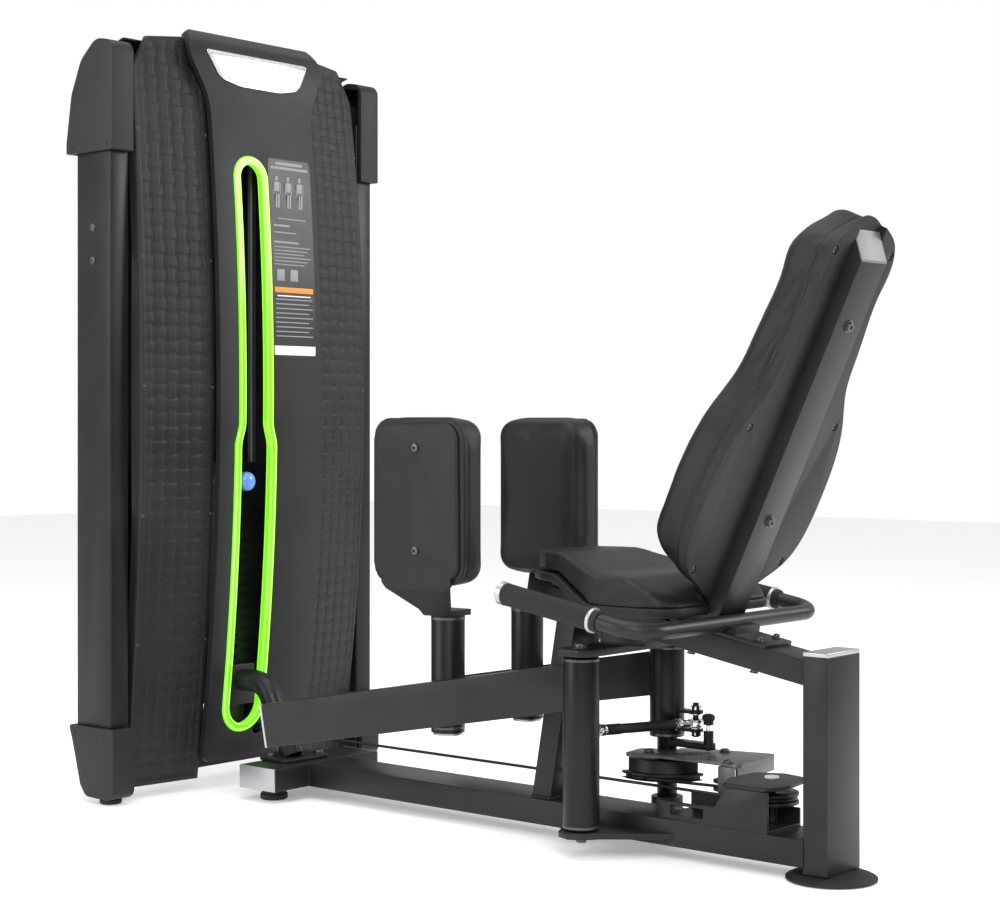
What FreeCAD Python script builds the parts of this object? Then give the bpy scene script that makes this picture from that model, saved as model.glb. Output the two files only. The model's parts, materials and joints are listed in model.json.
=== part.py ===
import FreeCAD, Part
import math
import os
import re
import Sketcher
from FreeCAD import Placement, Rotation, Vector

# Hip abductor machine. Millimetres, +Z up, the user faces -X towards the weight tower.
# The origin is on the floor under the middle of the machine's box.

doc = FreeCAD.newDocument("HipAbductor")
sheet = doc.addObject("Spreadsheet::Sheet", "Sizes")
ALIASES = []
NODES = []


def size(alias, value):
    """Put one plain number in the sheet and give its cell a name."""
    row = len(ALIASES) + 1
    sheet.set("A%d" % row, alias.replace("_", " "))
    sheet.set("B%d" % row, repr(value))
    sheet.setAlias("B%d" % row, alias)
    ALIASES.append(alias)


# Overall lengths, all measured forwards from the rear post's rear face.
size("rear_x", 818.35)
size("tower_back", 1600.0)
size("pivot_back", 487.0)
size("cross_back", 1416.0)
size("support_back", 685.0)
# Base frame.
size("base_half", 57.5)
size("base_bottom", 25.0)
size("base_top", 75.0)
size("tube_wall", 3.0)
size("cross_depth", 110.0)
size("cross_half", 158.0)
size("post_depth", 50.0)
size("post_bottom", 14.0)
size("post_top", 404.0)
size("cap_height", 8.0)
size("foot_radius", 83.0)
# Seat beam and its front support, both leaning by the same angle.
size("lean", 10.0)
size("beam_half", 45.0)
size("beam_thick", 45.0)
size("beam_ref_x", 122.6)
size("beam_ref_z", 407.0)
size("beam_tip", 640.0)
size("seat_plate_thick", 8.0)
# Arms.
size("pivot_y", 140.0)
size("sleeve_radius", 35.0)
size("spindle_radius", 15.0)
size("shaft_radius", 20.0)
size("running_gap", 0.05)
size("sleeve_top", 377.0)
size("left_sleeve_bottom", 53.0)
size("right_sleeve_bottom", 196.0)
size("head_plate_bottom", 381.0)
size("head_plate_top", 394.0)
size("splay", 12.0)
size("arm_pitch", 10.0)
size("arm_half", 25.0)
size("arm_depth", 87.6)
size("arm_length", 735.0)
size("arm_top_z", 368.0)
size("arm_wall", 4.0)
size("pad_post_t", 340.0)
size("pad_post_in", 87.0)
size("pad_post_radius", 34.0)
size("pad_post_top", 434.0)
size("pad_post_bottom", 200.0)
# Thigh pads.
size("pad_width", 233.0)
size("pad_thick", 78.0)
size("pad_bottom", 500.0)
size("pad_top", 832.0)
size("pad_inner", 18.7)
size("pad_turn", 3.3)
# Tie rod.
size("rod_z", 226.0)
size("crank", 65.0)
size("right_crank_angle", 6.6)
size("left_crank_angle", 124.0)
size("rod_radius", 9.0)
size("lug_thick", 6.0)
# Cam, cable and pulleys.
size("cable_radius", 3.0)
size("cable_z", 123.0)
size("cam_radius", 92.0)
size("pulley_radius", 44.0)
size("pulley_flange", 6.0)
size("pulley_width", 22.0)
size("groove_half", 4.5)
size("rear_pulley_x", 180.0)
size("rear_pulley_y", 45.0)
size("guide_pulley_x", 315.0)
size("guide_pulley_y", 92.6)
size("guide_pulley_r", 18.0)
size("top_pulley_z", 1450.0)
size("guide_plate_bottom", 165.0)
size("guide_plate_thick", 6.0)
size("index_radius", 100.0)
size("index_step", 7.5)
# Tower.
size("stack_y", -47.0)
size("upright_in", 351.0)
size("upright_width", 50.0)
size("upright_top", 1545.0)
size("rod_guide_radius", 10.0)
size("rod_spread", 90.0)
size("plate_half_x", 44.0)
size("plate_half_y", 135.0)
size("plate_pitch", 25.0)
size("stack_bottom", 226.0)
size("panel_front", 1484.0)
size("panel_middle_z", 900.0)
size("panel_bow", 8.5e-05)
size("panel_half", 155.0)
size("panel_thick", 14.0)
size("weave_setback", 19.0)
size("weave_sweep", 6.8)
size("weave_width", 190.0)
size("slot_low_half", 65.0)
size("slot_high_half", 53.0)
size("slot_bottom", 120.0)
size("slot_top", 1425.0)
size("slot_step_low", 775.0)
size("slot_step_high", 815.0)
size("trim_width", 20.0)
# Seat, back and handles.
size("seat_half", 190.0)
size("seat_front_half", 80.0)
size("tray_bottom", 465.0)
size("tray_thick", 18.0)
size("cushion_edge", 36.0)
size("back_lean", 25.1)
size("back_foot_x", 240.6)
size("back_foot_z", 459.7)
size("back_tube_half", 44.0)
size("back_tube_thick", 38.0)
size("handle_half", 298.0)
size("handle_radius", 15.0)
size("grip_radius", 21.0)
doc.recompute()


def expr(text):
    """Point every size named in a formula at its cell in the sheet."""
    return re.sub(r"[A-Za-z_][A-Za-z_0-9]*",
        lambda m: "Sizes." + m.group(0) if m.group(0) in ALIASES else m.group(0), str(text))


def val(text):
    """The number a formula gives."""
    return float(sheet.evalExpression(expr(text)))


def bind(obj, **links):
    """Bind an object's properties to formulas on the sheet."""
    for path, formula in links.items():
        obj.setExpression(path.replace("__", "."), expr(formula))
    return obj


def place(obj, x="0", y="0", z="0", axis=(0, 0, 1), angle="0"):
    """Give an object its bound position and turn."""
    obj.Placement = Placement(Vector(0, 0, 0), Rotation(Vector(*axis), 5))
    return bind(obj, Placement__Base__x=x, Placement__Base__y=y, Placement__Base__z=z,
        Placement__Rotation__Angle=angle)


def block(name, x, y, z):
    """A box between two bound limits on each axis."""
    obj = doc.addObject("Part::Box", name)
    bind(obj, Length="(%s)-(%s)" % (x[1], x[0]), Width="(%s)-(%s)" % (y[1], y[0]),
        Height="(%s)-(%s)" % (z[1], z[0]))
    return bind(obj, Placement__Base__x=x[0], Placement__Base__y=y[0], Placement__Base__z=z[0])


def tilted(name, ref, angle, x, y, z):
    """A box given in a frame that is turned about Y at a reference point (x, z)."""
    obj = doc.addObject("Part::Box", name)
    bind(obj, Length="(%s)-(%s)" % (x[1], x[0]), Width="(%s)-(%s)" % (y[1], y[0]),
        Height="(%s)-(%s)" % (z[1], z[0]))
    base_x = "(%s)+(%s)*cos(%s)+(%s)*sin(%s)" % (ref[0], x[0], angle, z[0], angle)
    base_z = "(%s)-(%s)*sin(%s)+(%s)*cos(%s)" % (ref[1], x[0], angle, z[0], angle)
    return place(obj, base_x, y[0], base_z, (0, 1, 0), angle)


def rod(name, radius, base, length, axis="z"):
    """A bound cylinder along an axis."""
    obj = doc.addObject("Part::Cylinder", name)
    bind(obj, Radius=radius, Height=length)
    turn = {"z": Rotation(), "x": Rotation(Vector(0, 1, 0), 90), "y": Rotation(Vector(1, 0, 0), -90)}[axis]
    obj.Placement = Placement(Vector(0, 0, 0), turn)
    return bind(obj, Placement__Base__x=base[0], Placement__Base__y=base[1], Placement__Base__z=base[2])


def tilted_rod(name, radius, ref, angle, x, y, z, length, along_x=False):
    """A cylinder in a frame turned about Y: along the frame's own Z, or its X."""
    obj = doc.addObject("Part::Cylinder", name)
    bind(obj, Radius=radius, Height=length)
    base_x = "(%s)+(%s)*cos(%s)+(%s)*sin(%s)" % (ref[0], x, angle, z, angle)
    base_z = "(%s)-(%s)*sin(%s)+(%s)*cos(%s)" % (ref[1], x, angle, z, angle)
    turn = "(%s)+90" % angle if along_x else angle
    return place(obj, base_x, y, base_z, (0, 1, 0), turn)


def fuse(name, *parts):
    obj = doc.addObject("Part::MultiFuse", name)
    obj.Shapes = list(parts)
    obj.Refine = True
    return obj


def cut(name, base, *tools):
    obj = doc.addObject("Part::Cut", name)
    obj.Base = base
    obj.Tool = tools[0] if len(tools) == 1 else fuse(name + "_tools", *tools)
    return obj


def common(name, first, second):
    obj = doc.addObject("Part::Common", name)
    obj.Base = first
    obj.Tool = second
    return obj


def group(name, *parts):
    """Separate solids of one kind, kept apart in one sub-part."""
    obj = doc.addObject("Part::Compound", name)
    obj.Links = list(parts)
    return obj


def prism(name, plane, points, low, high):
    """A bound polygon sketched in a plane and pulled between two limits on its normal."""
    turn = {"xy": Rotation(), "xz": Rotation(Vector(1, 0, 0), 90), "yz": Rotation(0.5, 0.5, 0.5,
        0.5)}[plane]
    sign = -1 if plane == "xz" else 1
    sketch = doc.addObject("Sketcher::SketchObject", name + "_sketch")
    sketch.Placement = Placement(Vector(0, 0, 0), turn)
    spots = [Vector(val(a), val(b), 0) for a, b in points]
    count = len(points)
    sketch.addGeometry([Part.LineSegment(spots[i], spots[(i + 1) % count]) for i in range(count)], False)
    for i in range(count):
        sketch.addConstraint(Sketcher.Constraint("Coincident", i, 2, (i + 1) % count, 1))
    for i, (a, b) in enumerate(points):
        across = sketch.addConstraint(Sketcher.Constraint("DistanceX", -1, 1, i, 1, spots[i].x))
        up = sketch.addConstraint(Sketcher.Constraint("DistanceY", -1, 1, i, 1, spots[i].y))
        bind(sketch, **{"Constraints[%d]" % across: a, "Constraints[%d]" % up: b})
    obj = doc.addObject("Part::Extrusion", name)
    obj.Base = sketch
    obj.DirMode = "Custom"
    obj.Dir = {"xy": Vector(0, 0, 1), "xz": Vector(0, 1, 0), "yz": Vector(1, 0, 0)}[plane]
    obj.Solid = True
    slot = {"xy": "z", "xz": "y", "yz": "x"}[plane]
    bind(obj, LengthFwd="(%s)-(%s)" % (high, low))
    bind(obj, **{"Placement__Base__" + slot: low})
    return obj


def feature(name, shape):
    """A shape no primitive or sketch gives, made from the sheet's sizes."""
    obj = doc.addObject("Part::Feature", name)
    obj.Shape = shape
    return obj


def node(obj, label):
    """Name a finished sub-part."""
    obj.Label = label
    NODES.append(obj)
    return obj


def rounded_wire(points, radii):
    """A closed wire through corners, each rounded by its own radius."""
    count = len(points)
    edges = []
    starts = []
    ends = []
    mids = []
    for i, point in enumerate(points):
        before = points[i - 1] - point
        after = points[(i + 1) % count] - point
        half = before.getAngle(after) / 2
        radius = radii[i] if hasattr(radii, "__len__") else radii
        if radius < 0.01 or abs(half - math.pi / 2) < 0.01:
            starts.append(point)
            ends.append(point)
            mids.append(None)
            continue
        reach = min(radius / math.tan(half), 0.49 * min(before.Length, after.Length))
        bend = reach * math.tan(half)
        before.normalize()
        after.normalize()
        middle = before + after
        middle.normalize()
        starts.append(point + before * reach)
        ends.append(point + after * reach)
        mids.append(point + middle * (bend / math.sin(half) - bend))
    for i in range(count):
        if mids[i] is not None:
            edges.append(Part.Arc(starts[i], mids[i], ends[i]).toShape())
        follow = starts[(i + 1) % count]
        if (follow - ends[i]).Length > 1e-6:
            edges.append(Part.LineSegment(ends[i], follow).toShape())
    return Part.Wire(edges)


def plate(points, radii, normal, low, high):
    """A rounded outline pulled into a plate between two limits on a world axis."""
    slot = {"x": 0, "y": 1, "z": 2}[normal]
    spots = []
    for a, b in points:
        place3 = [a, b]
        place3.insert(slot, low)
        spots.append(Vector(*place3))
    pull = [0, 0, 0]
    pull[slot] = high - low
    return Part.Face(rounded_wire(spots, radii)).extrude(Vector(*pull))


def pipe(points, bend, radius):
    """A round bar along straight runs joined by tangent arcs."""
    edges = []
    last = points[0]
    for i in range(1, len(points) - 1):
        corner = points[i]
        before = points[i - 1] - corner
        after = points[i + 1] - corner
        half = before.getAngle(after) / 2
        reach = bend / math.tan(half)
        before.normalize()
        after.normalize()
        middle = before + after
        middle.normalize()
        first = corner + before * reach
        second = corner + after * reach
        edges.append(Part.LineSegment(last, first).toShape())
        edges.append(Part.Arc(first, corner + middle * (bend / math.sin(half) - bend), second).toShape())
        last = second
    edges.append(Part.LineSegment(last, points[-1]).toShape())
    wire = Part.Wire(edges)
    direction = points[1] - points[0]
    ring = Part.Wire([Part.makeCircle(radius, points[0], direction)])
    return wire.makePipeShell([ring], True, False)


# Formulas for the stations along the machine.
PIVOT = "(rear_x-pivot_back)"
POST_X = "(rear_x-pivot_back-pad_post_t*cos(splay)-pad_post_in*sin(splay))"
POST_Y = "(pivot_y+pad_post_t*sin(splay)-pad_post_in*cos(splay))"
TOWER = "(rear_x-tower_back)"
CROSS = "(rear_x-cross_back)"
BEAM = ("(rear_x-beam_ref_x)", "beam_ref_z")
BACK = ("(rear_x-back_foot_x)", "back_foot_z")
DEPTH = "cross_back-cross_depth"

# --- Base frame -------------------------------------------------------------------------
outer = block("base_outer", ("rear_x-(%s)" % DEPTH, "rear_x-post_depth"), ("-base_half", "base_half"),
    ("base_bottom", "base_top"))
inner = block("base_inner", ("rear_x-(%s)" % DEPTH, "rear_x-post_depth"), ("-base_half+tube_wall",
    "base_half-tube_wall"),
              ("base_bottom+tube_wall", "base_top-tube_wall"))
node(cut("BaseTube", outer, inner), "base_tube")

outer = block("cross_outer", (CROSS, CROSS + "+cross_depth"), ("-cross_half", "cross_half"),
    ("base_bottom", "base_top"))
inner = block("cross_inner", (CROSS + "+tube_wall", CROSS + "+cross_depth-tube_wall"), ("-cross_half",
    "cross_half"),
              ("base_bottom+tube_wall", "base_top-tube_wall"))
node(cut("CrossTube", outer, inner), "cross_tube")

outer = block("post_outer", ("rear_x-post_depth", "rear_x"), ("-base_half", "base_half"), ("post_bottom",
    "post_top"))
inner = block("post_inner", ("rear_x-post_depth+tube_wall", "rear_x-tube_wall"), ("-base_half+tube_wall",
    "base_half-tube_wall"),
              ("post_bottom", "post_top"))
node(cut("RearPost", outer, inner), "rear_post")

post_cap = block("post_cap", ("rear_x-post_depth", "rear_x"), ("-base_half", "base_half"), ("post_top",
    "post_top+cap_height"))
cross_caps = []
for index, (low, high) in enumerate((("-cross_half-4", "-cross_half"), ("cross_half", "cross_half+4"))):
    cross_caps.append(block("cross_cap_%d" % index, (CROSS, CROSS + "+cross_depth"), (low, high),
        ("base_bottom", "base_top")))
tube_cap = prism("back_tube_cap", "xz", [("0", "712"), ("0", "716.6"), ("-back_tube_thick", "760.6"),
    ("-back_tube_thick", "756")],
                 "-back_tube_half", "back_tube_half")
bind(tube_cap, Placement__Base__y="-back_tube_half")
tube_cap_turned = group("back_tube_cap_turned", tube_cap)
place(tube_cap_turned, BACK[0], "0", BACK[1], (0, 1, 0), "back_lean")
node(group("EndCaps", post_cap, cross_caps[0], cross_caps[1], tube_cap_turned), "end_caps")

mounts = [rod("rear_foot", "foot_radius", ("rear_x-post_depth/2", "0", "0"), "post_bottom")]
for index, side in enumerate(("-1", "1")):
    mounts.append(rod("cross_foot_%d" % index, "30", (CROSS + "+cross_depth/2", side + "*(cross_half-48)",
        "0"), "base_bottom"))
    mounts.append(rod("tower_foot_%d" % index, "24", (TOWER + "+10",
        side + "*(upright_in+upright_width/2)", "0"), "20"))
for index, side in enumerate(("-1", "1")):
    base = (TOWER, "stack_y+%s*rod_spread" % side, "88")
    sleeve = rod("buffer_out_%d" % index, "25", base, "stack_bottom-88")
    hole = rod("buffer_in_%d" % index, "rod_guide_radius", base, "stack_bottom-88")
    mounts.append(cut("buffer_%d" % index, sleeve, hole))
node(group("RubberMounts", *mounts), "rubber_mounts")

# --- Seat beam, support and pivot hangers ------------------------------------------------
BEAM_REACH = "(beam_tip-beam_ref_x)/cos(lean)"
beam_outer = tilted("beam_outer", BEAM, "lean", ("-" + BEAM_REACH, "140"), ("-beam_half", "beam_half"),
    ("-beam_thick", "0"))
beam_inner = tilted("beam_inner", BEAM, "lean", ("-" + BEAM_REACH + "+5", "140"), ("-beam_half+tube_wall",
    "beam_half-tube_wall"),
                    ("-beam_thick+tube_wall", "-tube_wall"))
behind_post = block("behind_post", ("rear_x-post_depth", "rear_x+200"), ("-100", "100"), ("200", "600"))
node(cut("SeatBeam", beam_outer, beam_inner, behind_post), "seat_beam")

FOOT = ("(rear_x-support_back)", "base_top")
support_outer = tilted("support_outer", FOOT, "lean", ("0", "beam_thick"), ("-beam_half", "beam_half"),
    ("-60", "480"))
support_inner = tilted("support_inner", FOOT, "lean", ("tube_wall", "beam_thick-tube_wall"),
    ("-beam_half+tube_wall", "beam_half-tube_wall"),
                       ("-60", "480"))
below_base = block("below_base", ("rear_x-support_back-150", "rear_x-support_back+150"), ("-100", "100"),
    ("-200", "base_top"))
above_beam = tilted("above_beam", BEAM, "lean", ("-900", "200"), ("-100", "100"), ("-beam_thick", "400"))
cable_hole = rod("support_cable_hole", "12", ("rear_x-support_back-60", "0", "cable_z"), "200", "x")
node(cut("SeatSupport", support_outer, support_inner, below_base, above_beam, cable_hole), "seat_support")

head = prism("head_bar", "xy", [(PIVOT + "-40", "-pivot_y-18"), (PIVOT + "-24", "-pivot_y-40"),
    (PIVOT + "+24", "-pivot_y-40"),
                                (PIVOT + "+40", "-pivot_y-18"), (PIVOT + "+40", "pivot_y+18"),
                                    (PIVOT + "+24", "pivot_y+40"),
                                (PIVOT + "-24", "pivot_y+40"), (PIVOT + "-40", "pivot_y+18")],
                                    "head_plate_bottom", "head_plate_top")
saddle_block = block("saddle_block", (PIVOT + "-28", PIVOT + "+82"), ("-beam_half", "beam_half"),
    ("head_plate_top", "480"))
above_saddle = tilted("above_saddle", BEAM, "lean", ("-900", "200"), ("-100", "100"), ("-beam_thick",
    "400"))
saddle = cut("saddle", saddle_block, above_saddle)
stub = rod("head_stub", "spindle_radius", (PIVOT, "pivot_y", "300"), "head_plate_bottom-300")
node(fuse("PivotHeadPlate", head, saddle, stub), "pivot_head_plate")

FOOT_PLAN = (("-48", "base_half"), ("-42", "pivot_y+8"), ("-27", "pivot_y+36"), ("0", "pivot_y+46"),
    ("27", "pivot_y+36"),
             ("48", "pivot_y+4"), ("157", "base_half"))
left_plate = prism("left_foot_plate", "xy", [("%s+%s" % (PIVOT, a), "-(%s)" % b) for a,
    b in reversed(FOOT_PLAN)], "38", "50")
left_spindle = rod("left_spindle", "spindle_radius", (PIVOT, "-pivot_y", "50"), "head_plate_bottom-50")
left_foot = fuse("left_foot", left_plate, left_spindle)
right_plate = prism("right_foot_plate", "xy", [("%s+%s" % (PIVOT, a), b) for a, b in FOOT_PLAN], "34", "46")
collar_out = rod("collar_out", "32", (PIVOT, "pivot_y", "46"), "30")
collar_in = rod("collar_in", "shaft_radius+running_gap", (PIVOT, "pivot_y", "46"), "40")
right_foot = cut("right_foot", fuse("right_foot_solid", right_plate, collar_out), collar_in)
node(group("PivotFeet", left_foot, right_foot), "pivot_feet")

# --- Link between the base and the tower ------------------------------------------------
link_x = val(CROSS) + 47.0
slot_y = val("stack_y")
link_points = [Vector(link_x, slot_y, 83.0), Vector(link_x - 157.0 * math.tan(math.radians(29)), slot_y,
    240.0),
               Vector(val("rear_x") - 1529.0, slot_y, 240.0)]
link_outer = pipe(link_points, 62.0, 25.0)
link_inner = pipe(link_points, 62.0, 22.0)
flat_end = Part.makeBox(200, 120, 60, Vector(link_x - 100, slot_y - 60, 23.0))
node(feature("LinkTube", link_outer.cut(link_inner).cut(flat_end)), "link_tube")
flange = plate([(link_x - 62, slot_y - 50), (link_x + 36, slot_y - 50), (link_x + 36, slot_y + 84),
    (link_x - 62, slot_y + 84)],
               18.0, "z", val("base_top"), 83.0)
node(feature("LinkFlange", flange), "link_flange")

# --- Tower frame ------------------------------------------------------------------------
uprights = []
for index, (low, high) in enumerate((("-upright_in-upright_width", "-upright_in"), ("upright_in",
    "upright_in+upright_width"))):
    profile = (("40", "20"), ("-28", "20"), ("-42", "45"), ("-61", "110"), ("-75", "140"),
        ("-75", "upright_top"), ("40", "upright_top"))
    solid = prism("upright_%d" % index, "xz", [("%s+%s" % (TOWER, a), b) for a, b in profile], low, high)
    bind(solid, Placement__Base__y=low)
    hollow = block("upright_hollow_%d" % index, (TOWER + "-71", TOWER + "+36"), (low + "+4", high + "-4"),
        ("160", "upright_top-6"))
    uprights.append(cut("upright_cut_%d" % index, solid, hollow))
node(group("TowerUprights", *uprights), "tower_uprights")

rail = block("base_rail", (TOWER + "-40", TOWER + "-4"), ("-upright_in", "upright_in"), ("40", "80"))
deck = block("base_deck", (TOWER + "-40", TOWER + "+38"), ("-146", "90"), ("80", "88"))
top_beam = block("top_beam", (TOWER + "-40", TOWER + "+22"), ("-upright_in-upright_width",
    "upright_in+upright_width"),
                 ("upright_top", "upright_top+45"))
bracket = prism("link_bracket", "xz", [("rear_x-1529", "275"), ("rear_x-1536", "275"), ("rear_x-1536",
    "192"), ("rear_x-1570", "192"),
                                       ("rear_x-1570", "88"), ("rear_x-1562", "88"), ("rear_x-1562",
                                           "184"), ("rear_x-1529", "184")],
                "-88", "-12")
bind(bracket, Placement__Base__y="-88")
tabs = []
for index, (height, reach) in enumerate((("600", "14"), ("900", "22"), ("1300", "9"))):
    for side, (low, high) in enumerate((("-upright_in-14", "-upright_in+16"), ("upright_in-16",
        "upright_in+14"))):
        tabs.append(block("tab_%d_%d" % (index, side), (TOWER + "+40", TOWER + "+40+" + reach), (low, high),
                          (height + "-20", height + "+20")))
node(group("TowerFrame", fuse("rail_deck", rail, deck, bracket), top_beam, *tabs), "tower_frame")

rods = []
for index, side in enumerate(("-1", "1")):
    rods.append(rod("guide_rod_%d" % index, "rod_guide_radius", (TOWER, "stack_y+%s*rod_spread" % side,
        "88"), "upright_top-88"))
node(group("GuideRods", *rods), "guide_rods")

# --- Weight stack -----------------------------------------------------------------------
PLATE_COUNT = 18
plates = []
holes = []
for index in range(PLATE_COUNT):
    low = "stack_bottom+%d*plate_pitch" % index
    plates.append(block("plate_%d" % index, (TOWER + "-plate_half_x", TOWER + "+plate_half_x"),
                        ("stack_y-plate_half_y", "stack_y+plate_half_y"), (low, low + "+plate_pitch-0.4")))
    holes.append(rod("plate_hole_%d" % index, "5", (TOWER, "stack_y", low + "+plate_pitch/2"),
        "plate_half_x+5", "x"))
for index, side in enumerate(("-1", "0", "1")):
    radius = "rod_guide_radius+0.5" if side != "0" else "rod_guide_radius+1"
    holes.append(rod("stack_bore_%d" % index, radius, (TOWER, "stack_y+%s*rod_spread" % side,
        "stack_bottom-10"),
                     "%d*plate_pitch+20" % PLATE_COUNT))
node(cut("WeightPlates", group("plate_set", *plates), *holes), "weight_plates")

LIFT = "(stack_bottom+%d*plate_pitch)" % PLATE_COUNT
chosen = block("chosen_plate", (TOWER + "-plate_half_x", TOWER + "+plate_half_x"), ("stack_y-plate_half_y",
    "stack_y+plate_half_y"),
               (LIFT, LIFT + "+plate_pitch-0.4"))
head_block = block("head_block", (TOWER + "-plate_half_x", TOWER + "+plate_half_x"),
    ("stack_y-plate_half_y", "stack_y+plate_half_y"),
                   (LIFT + "+plate_pitch", LIFT + "+plate_pitch+30"))
stem = rod("stem", "rod_guide_radius", (TOWER, "stack_y", "stack_bottom+14"),
    LIFT + "+94-(stack_bottom+14)")
eye = rod("stem_eye", "16", (TOWER, "stack_y", LIFT + "+plate_pitch+30"), "20")
bores = [rod("lift_bore_%d" % i, "rod_guide_radius+0.5", (TOWER, "stack_y+%s*rod_spread" % s,
    LIFT + "-10"), "90")
         for i, s in enumerate(("-1", "1"))]
pin_bore = rod("pin_bore", "5", (TOWER, "stack_y", LIFT + "+plate_pitch/2"), "plate_half_x+5", "x")
stack_body = fuse("lifted_solid", chosen, head_block, stem, eye)
node(cut("LiftedStack", stack_body, pin_bore, *bores), "lifted_stack")
pin = rod("pin_shank", "4.9", (TOWER + "+12", "stack_y", LIFT + "+plate_pitch/2"), "plate_half_x-2", "x")
knob = rod("pin_knob", "22", (TOWER + "+plate_half_x+24", "stack_y", LIFT + "+plate_pitch/2"), "30", "x")
knob_neck = rod("pin_neck", "9", (TOWER + "+plate_half_x+2", "stack_y", LIFT + "+plate_pitch/2"), "24", "x")
node(fuse("SelectorPin", pin, knob, knob_neck), "selector_pin")
node(rod("LiftCable", "cable_radius", (TOWER, "stack_y", LIFT + "+94"), "top_pulley_z-(%s+94)" % LIFT),
    "lift_cable")

# --- Tower covers -----------------------------------------------------------------------
rear = val("rear_x")
front_x = rear - val("panel_front")
middle_z = val("panel_middle_z")
bow = val("panel_bow")


BOW_STEPS = 14


def bowed(offset, depth, y_low, y_high, z_low, z_high, crown=0.0):
    """A sheet of flat strips that follows the tower's vertical bow, its top turned back over a crown."""
    def at(z, shift):
        return Vector(front_x + shift - bow * (z - middle_z) ** 2, y_low, z)
    join = z_high - crown
    stations = [z_low + (join - z_low) * i / BOW_STEPS for i in range(BOW_STEPS + 1)]
    front = [at(z, offset) for z in stations]
    back = [at(z, offset - depth) for z in stations]
    if crown > 0:
        top = front[-1]
        low = back[-1]
        front.append(Vector(top.x - crown * 0.16, y_low, z_high - crown * 0.42))
        front.append(Vector(top.x - crown * 0.55, y_low, z_high))
        back.append(Vector(low.x - (crown - depth) * 0.2, y_low, z_high - depth - (crown - depth) * 0.42))
        back.append(Vector(low.x - (crown - depth * 0.4) * 0.55, y_low, z_high - depth))
    ring = front + back[::-1]
    return Part.Face(Part.makePolygon(ring + ring[:1])).extrude(Vector(0, y_high - y_low, 0))


def slot_solid(shrink, low_x, high_x):
    """The stepped slot outline with round ends, pulled along X."""
    low_half = val("slot_low_half") - shrink
    high_half = val("slot_high_half") - shrink
    bottom = val("slot_bottom") + shrink
    top = val("slot_top") - shrink
    step_low = val("slot_step_low")
    step_high = val("slot_step_high")

    def at(y, z):
        return Vector(low_x, slot_y + y, z)
    edges = [Part.Arc(at(-low_half, bottom + low_half), at(0, bottom), at(low_half,
        bottom + low_half)).toShape(),
             Part.LineSegment(at(low_half, bottom + low_half), at(low_half, step_low)).toShape(),
             Part.LineSegment(at(low_half, step_low), at(high_half, step_high)).toShape(),
             Part.LineSegment(at(high_half, step_high), at(high_half, top - high_half)).toShape(),
             Part.Arc(at(high_half, top - high_half), at(0, top), at(-high_half,
                 top - high_half)).toShape(),
             Part.LineSegment(at(-high_half, top - high_half), at(-high_half, step_high)).toShape(),
             Part.LineSegment(at(-high_half, step_high), at(-low_half, step_low)).toShape(),
             Part.LineSegment(at(-low_half, step_low), at(-low_half, bottom + low_half)).toShape()]
    return Part.Face(Part.Wire(edges)).extrude(Vector(high_x - low_x, 0, 0))


panel_half = val("panel_half")
panel_outline = plate([(-panel_half, 60), (panel_half, 60), (panel_half, 1545), (205, 1640), (188, 1700),
    (-188, 1700), (-205, 1640),
                       (-panel_half, 1545)], [30, 30, 160, 60, 24, 24, 60, 160], "x", front_x - 200,
                           front_x + 60)
center = bowed(0.0, val("panel_thick"), -230, 230, 60, 1698, 58.0).common(panel_outline)
center = center.cut(slot_solid(0.0, front_x - 150, front_x + 60))
center = center.cut(Part.makeCylinder(12, 200, Vector(front_x - 150, 0, val("cable_z")), Vector(1, 0, 0)))
node(feature("FrontCenterPanel", center), "front_center_panel")

ring = slot_solid(0.0, front_x - 150, front_x + 60).cut(slot_solid(val("trim_width"), front_x - 160,
    front_x + 70))
trim = bowed(4.0, 20.0, slot_y - 80, slot_y + 80, 100, 1450).common(ring)
node(feature("SlotTrim", trim), "slot_trim")

badge_outline = plate([(-157, 1655), (-120, 1592), (-60, 1580), (60, 1580), (120, 1592), (157, 1655)],
    [6, 40, 90, 90, 40, 6], "x",
                      front_x - 200, front_x + 60)
badge = bowed(3.0, 3.0, -170, 170, 1570, 1698, 58.0).common(badge_outline)
node(feature("BadgePlate", badge.cut(center)), "badge_plate")

width = val("weave_width")
for side, label in ((-1, "weave_panel_left"), (1, "weave_panel_right")):
    sheet_solid = bowed(0.0, 10.0, -5, width + 5, 25, 1684)
    outline = plate([(0.4, 25), (width, 25), (width, 1586), (width - 45, 1668), (0.4, 1684)],
        [0, 12, 40, 40, 0], "x",
                    front_x - 200, front_x + 60)
    panel = sheet_solid.common(outline)
    hinge = Vector(front_x, 0, 0)
    panel.rotate(hinge, Vector(0, 0, 1), val("weave_sweep"))
    panel.translate(Vector(-val("weave_setback"), panel_half, 0))
    if side < 0:
        panel = panel.mirror(Vector(0, 0, 0), Vector(0, 1, 0))
    panel = panel.cut(center)
    node(feature("Weave" + label.title().replace("_", ""), panel), label)

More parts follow.
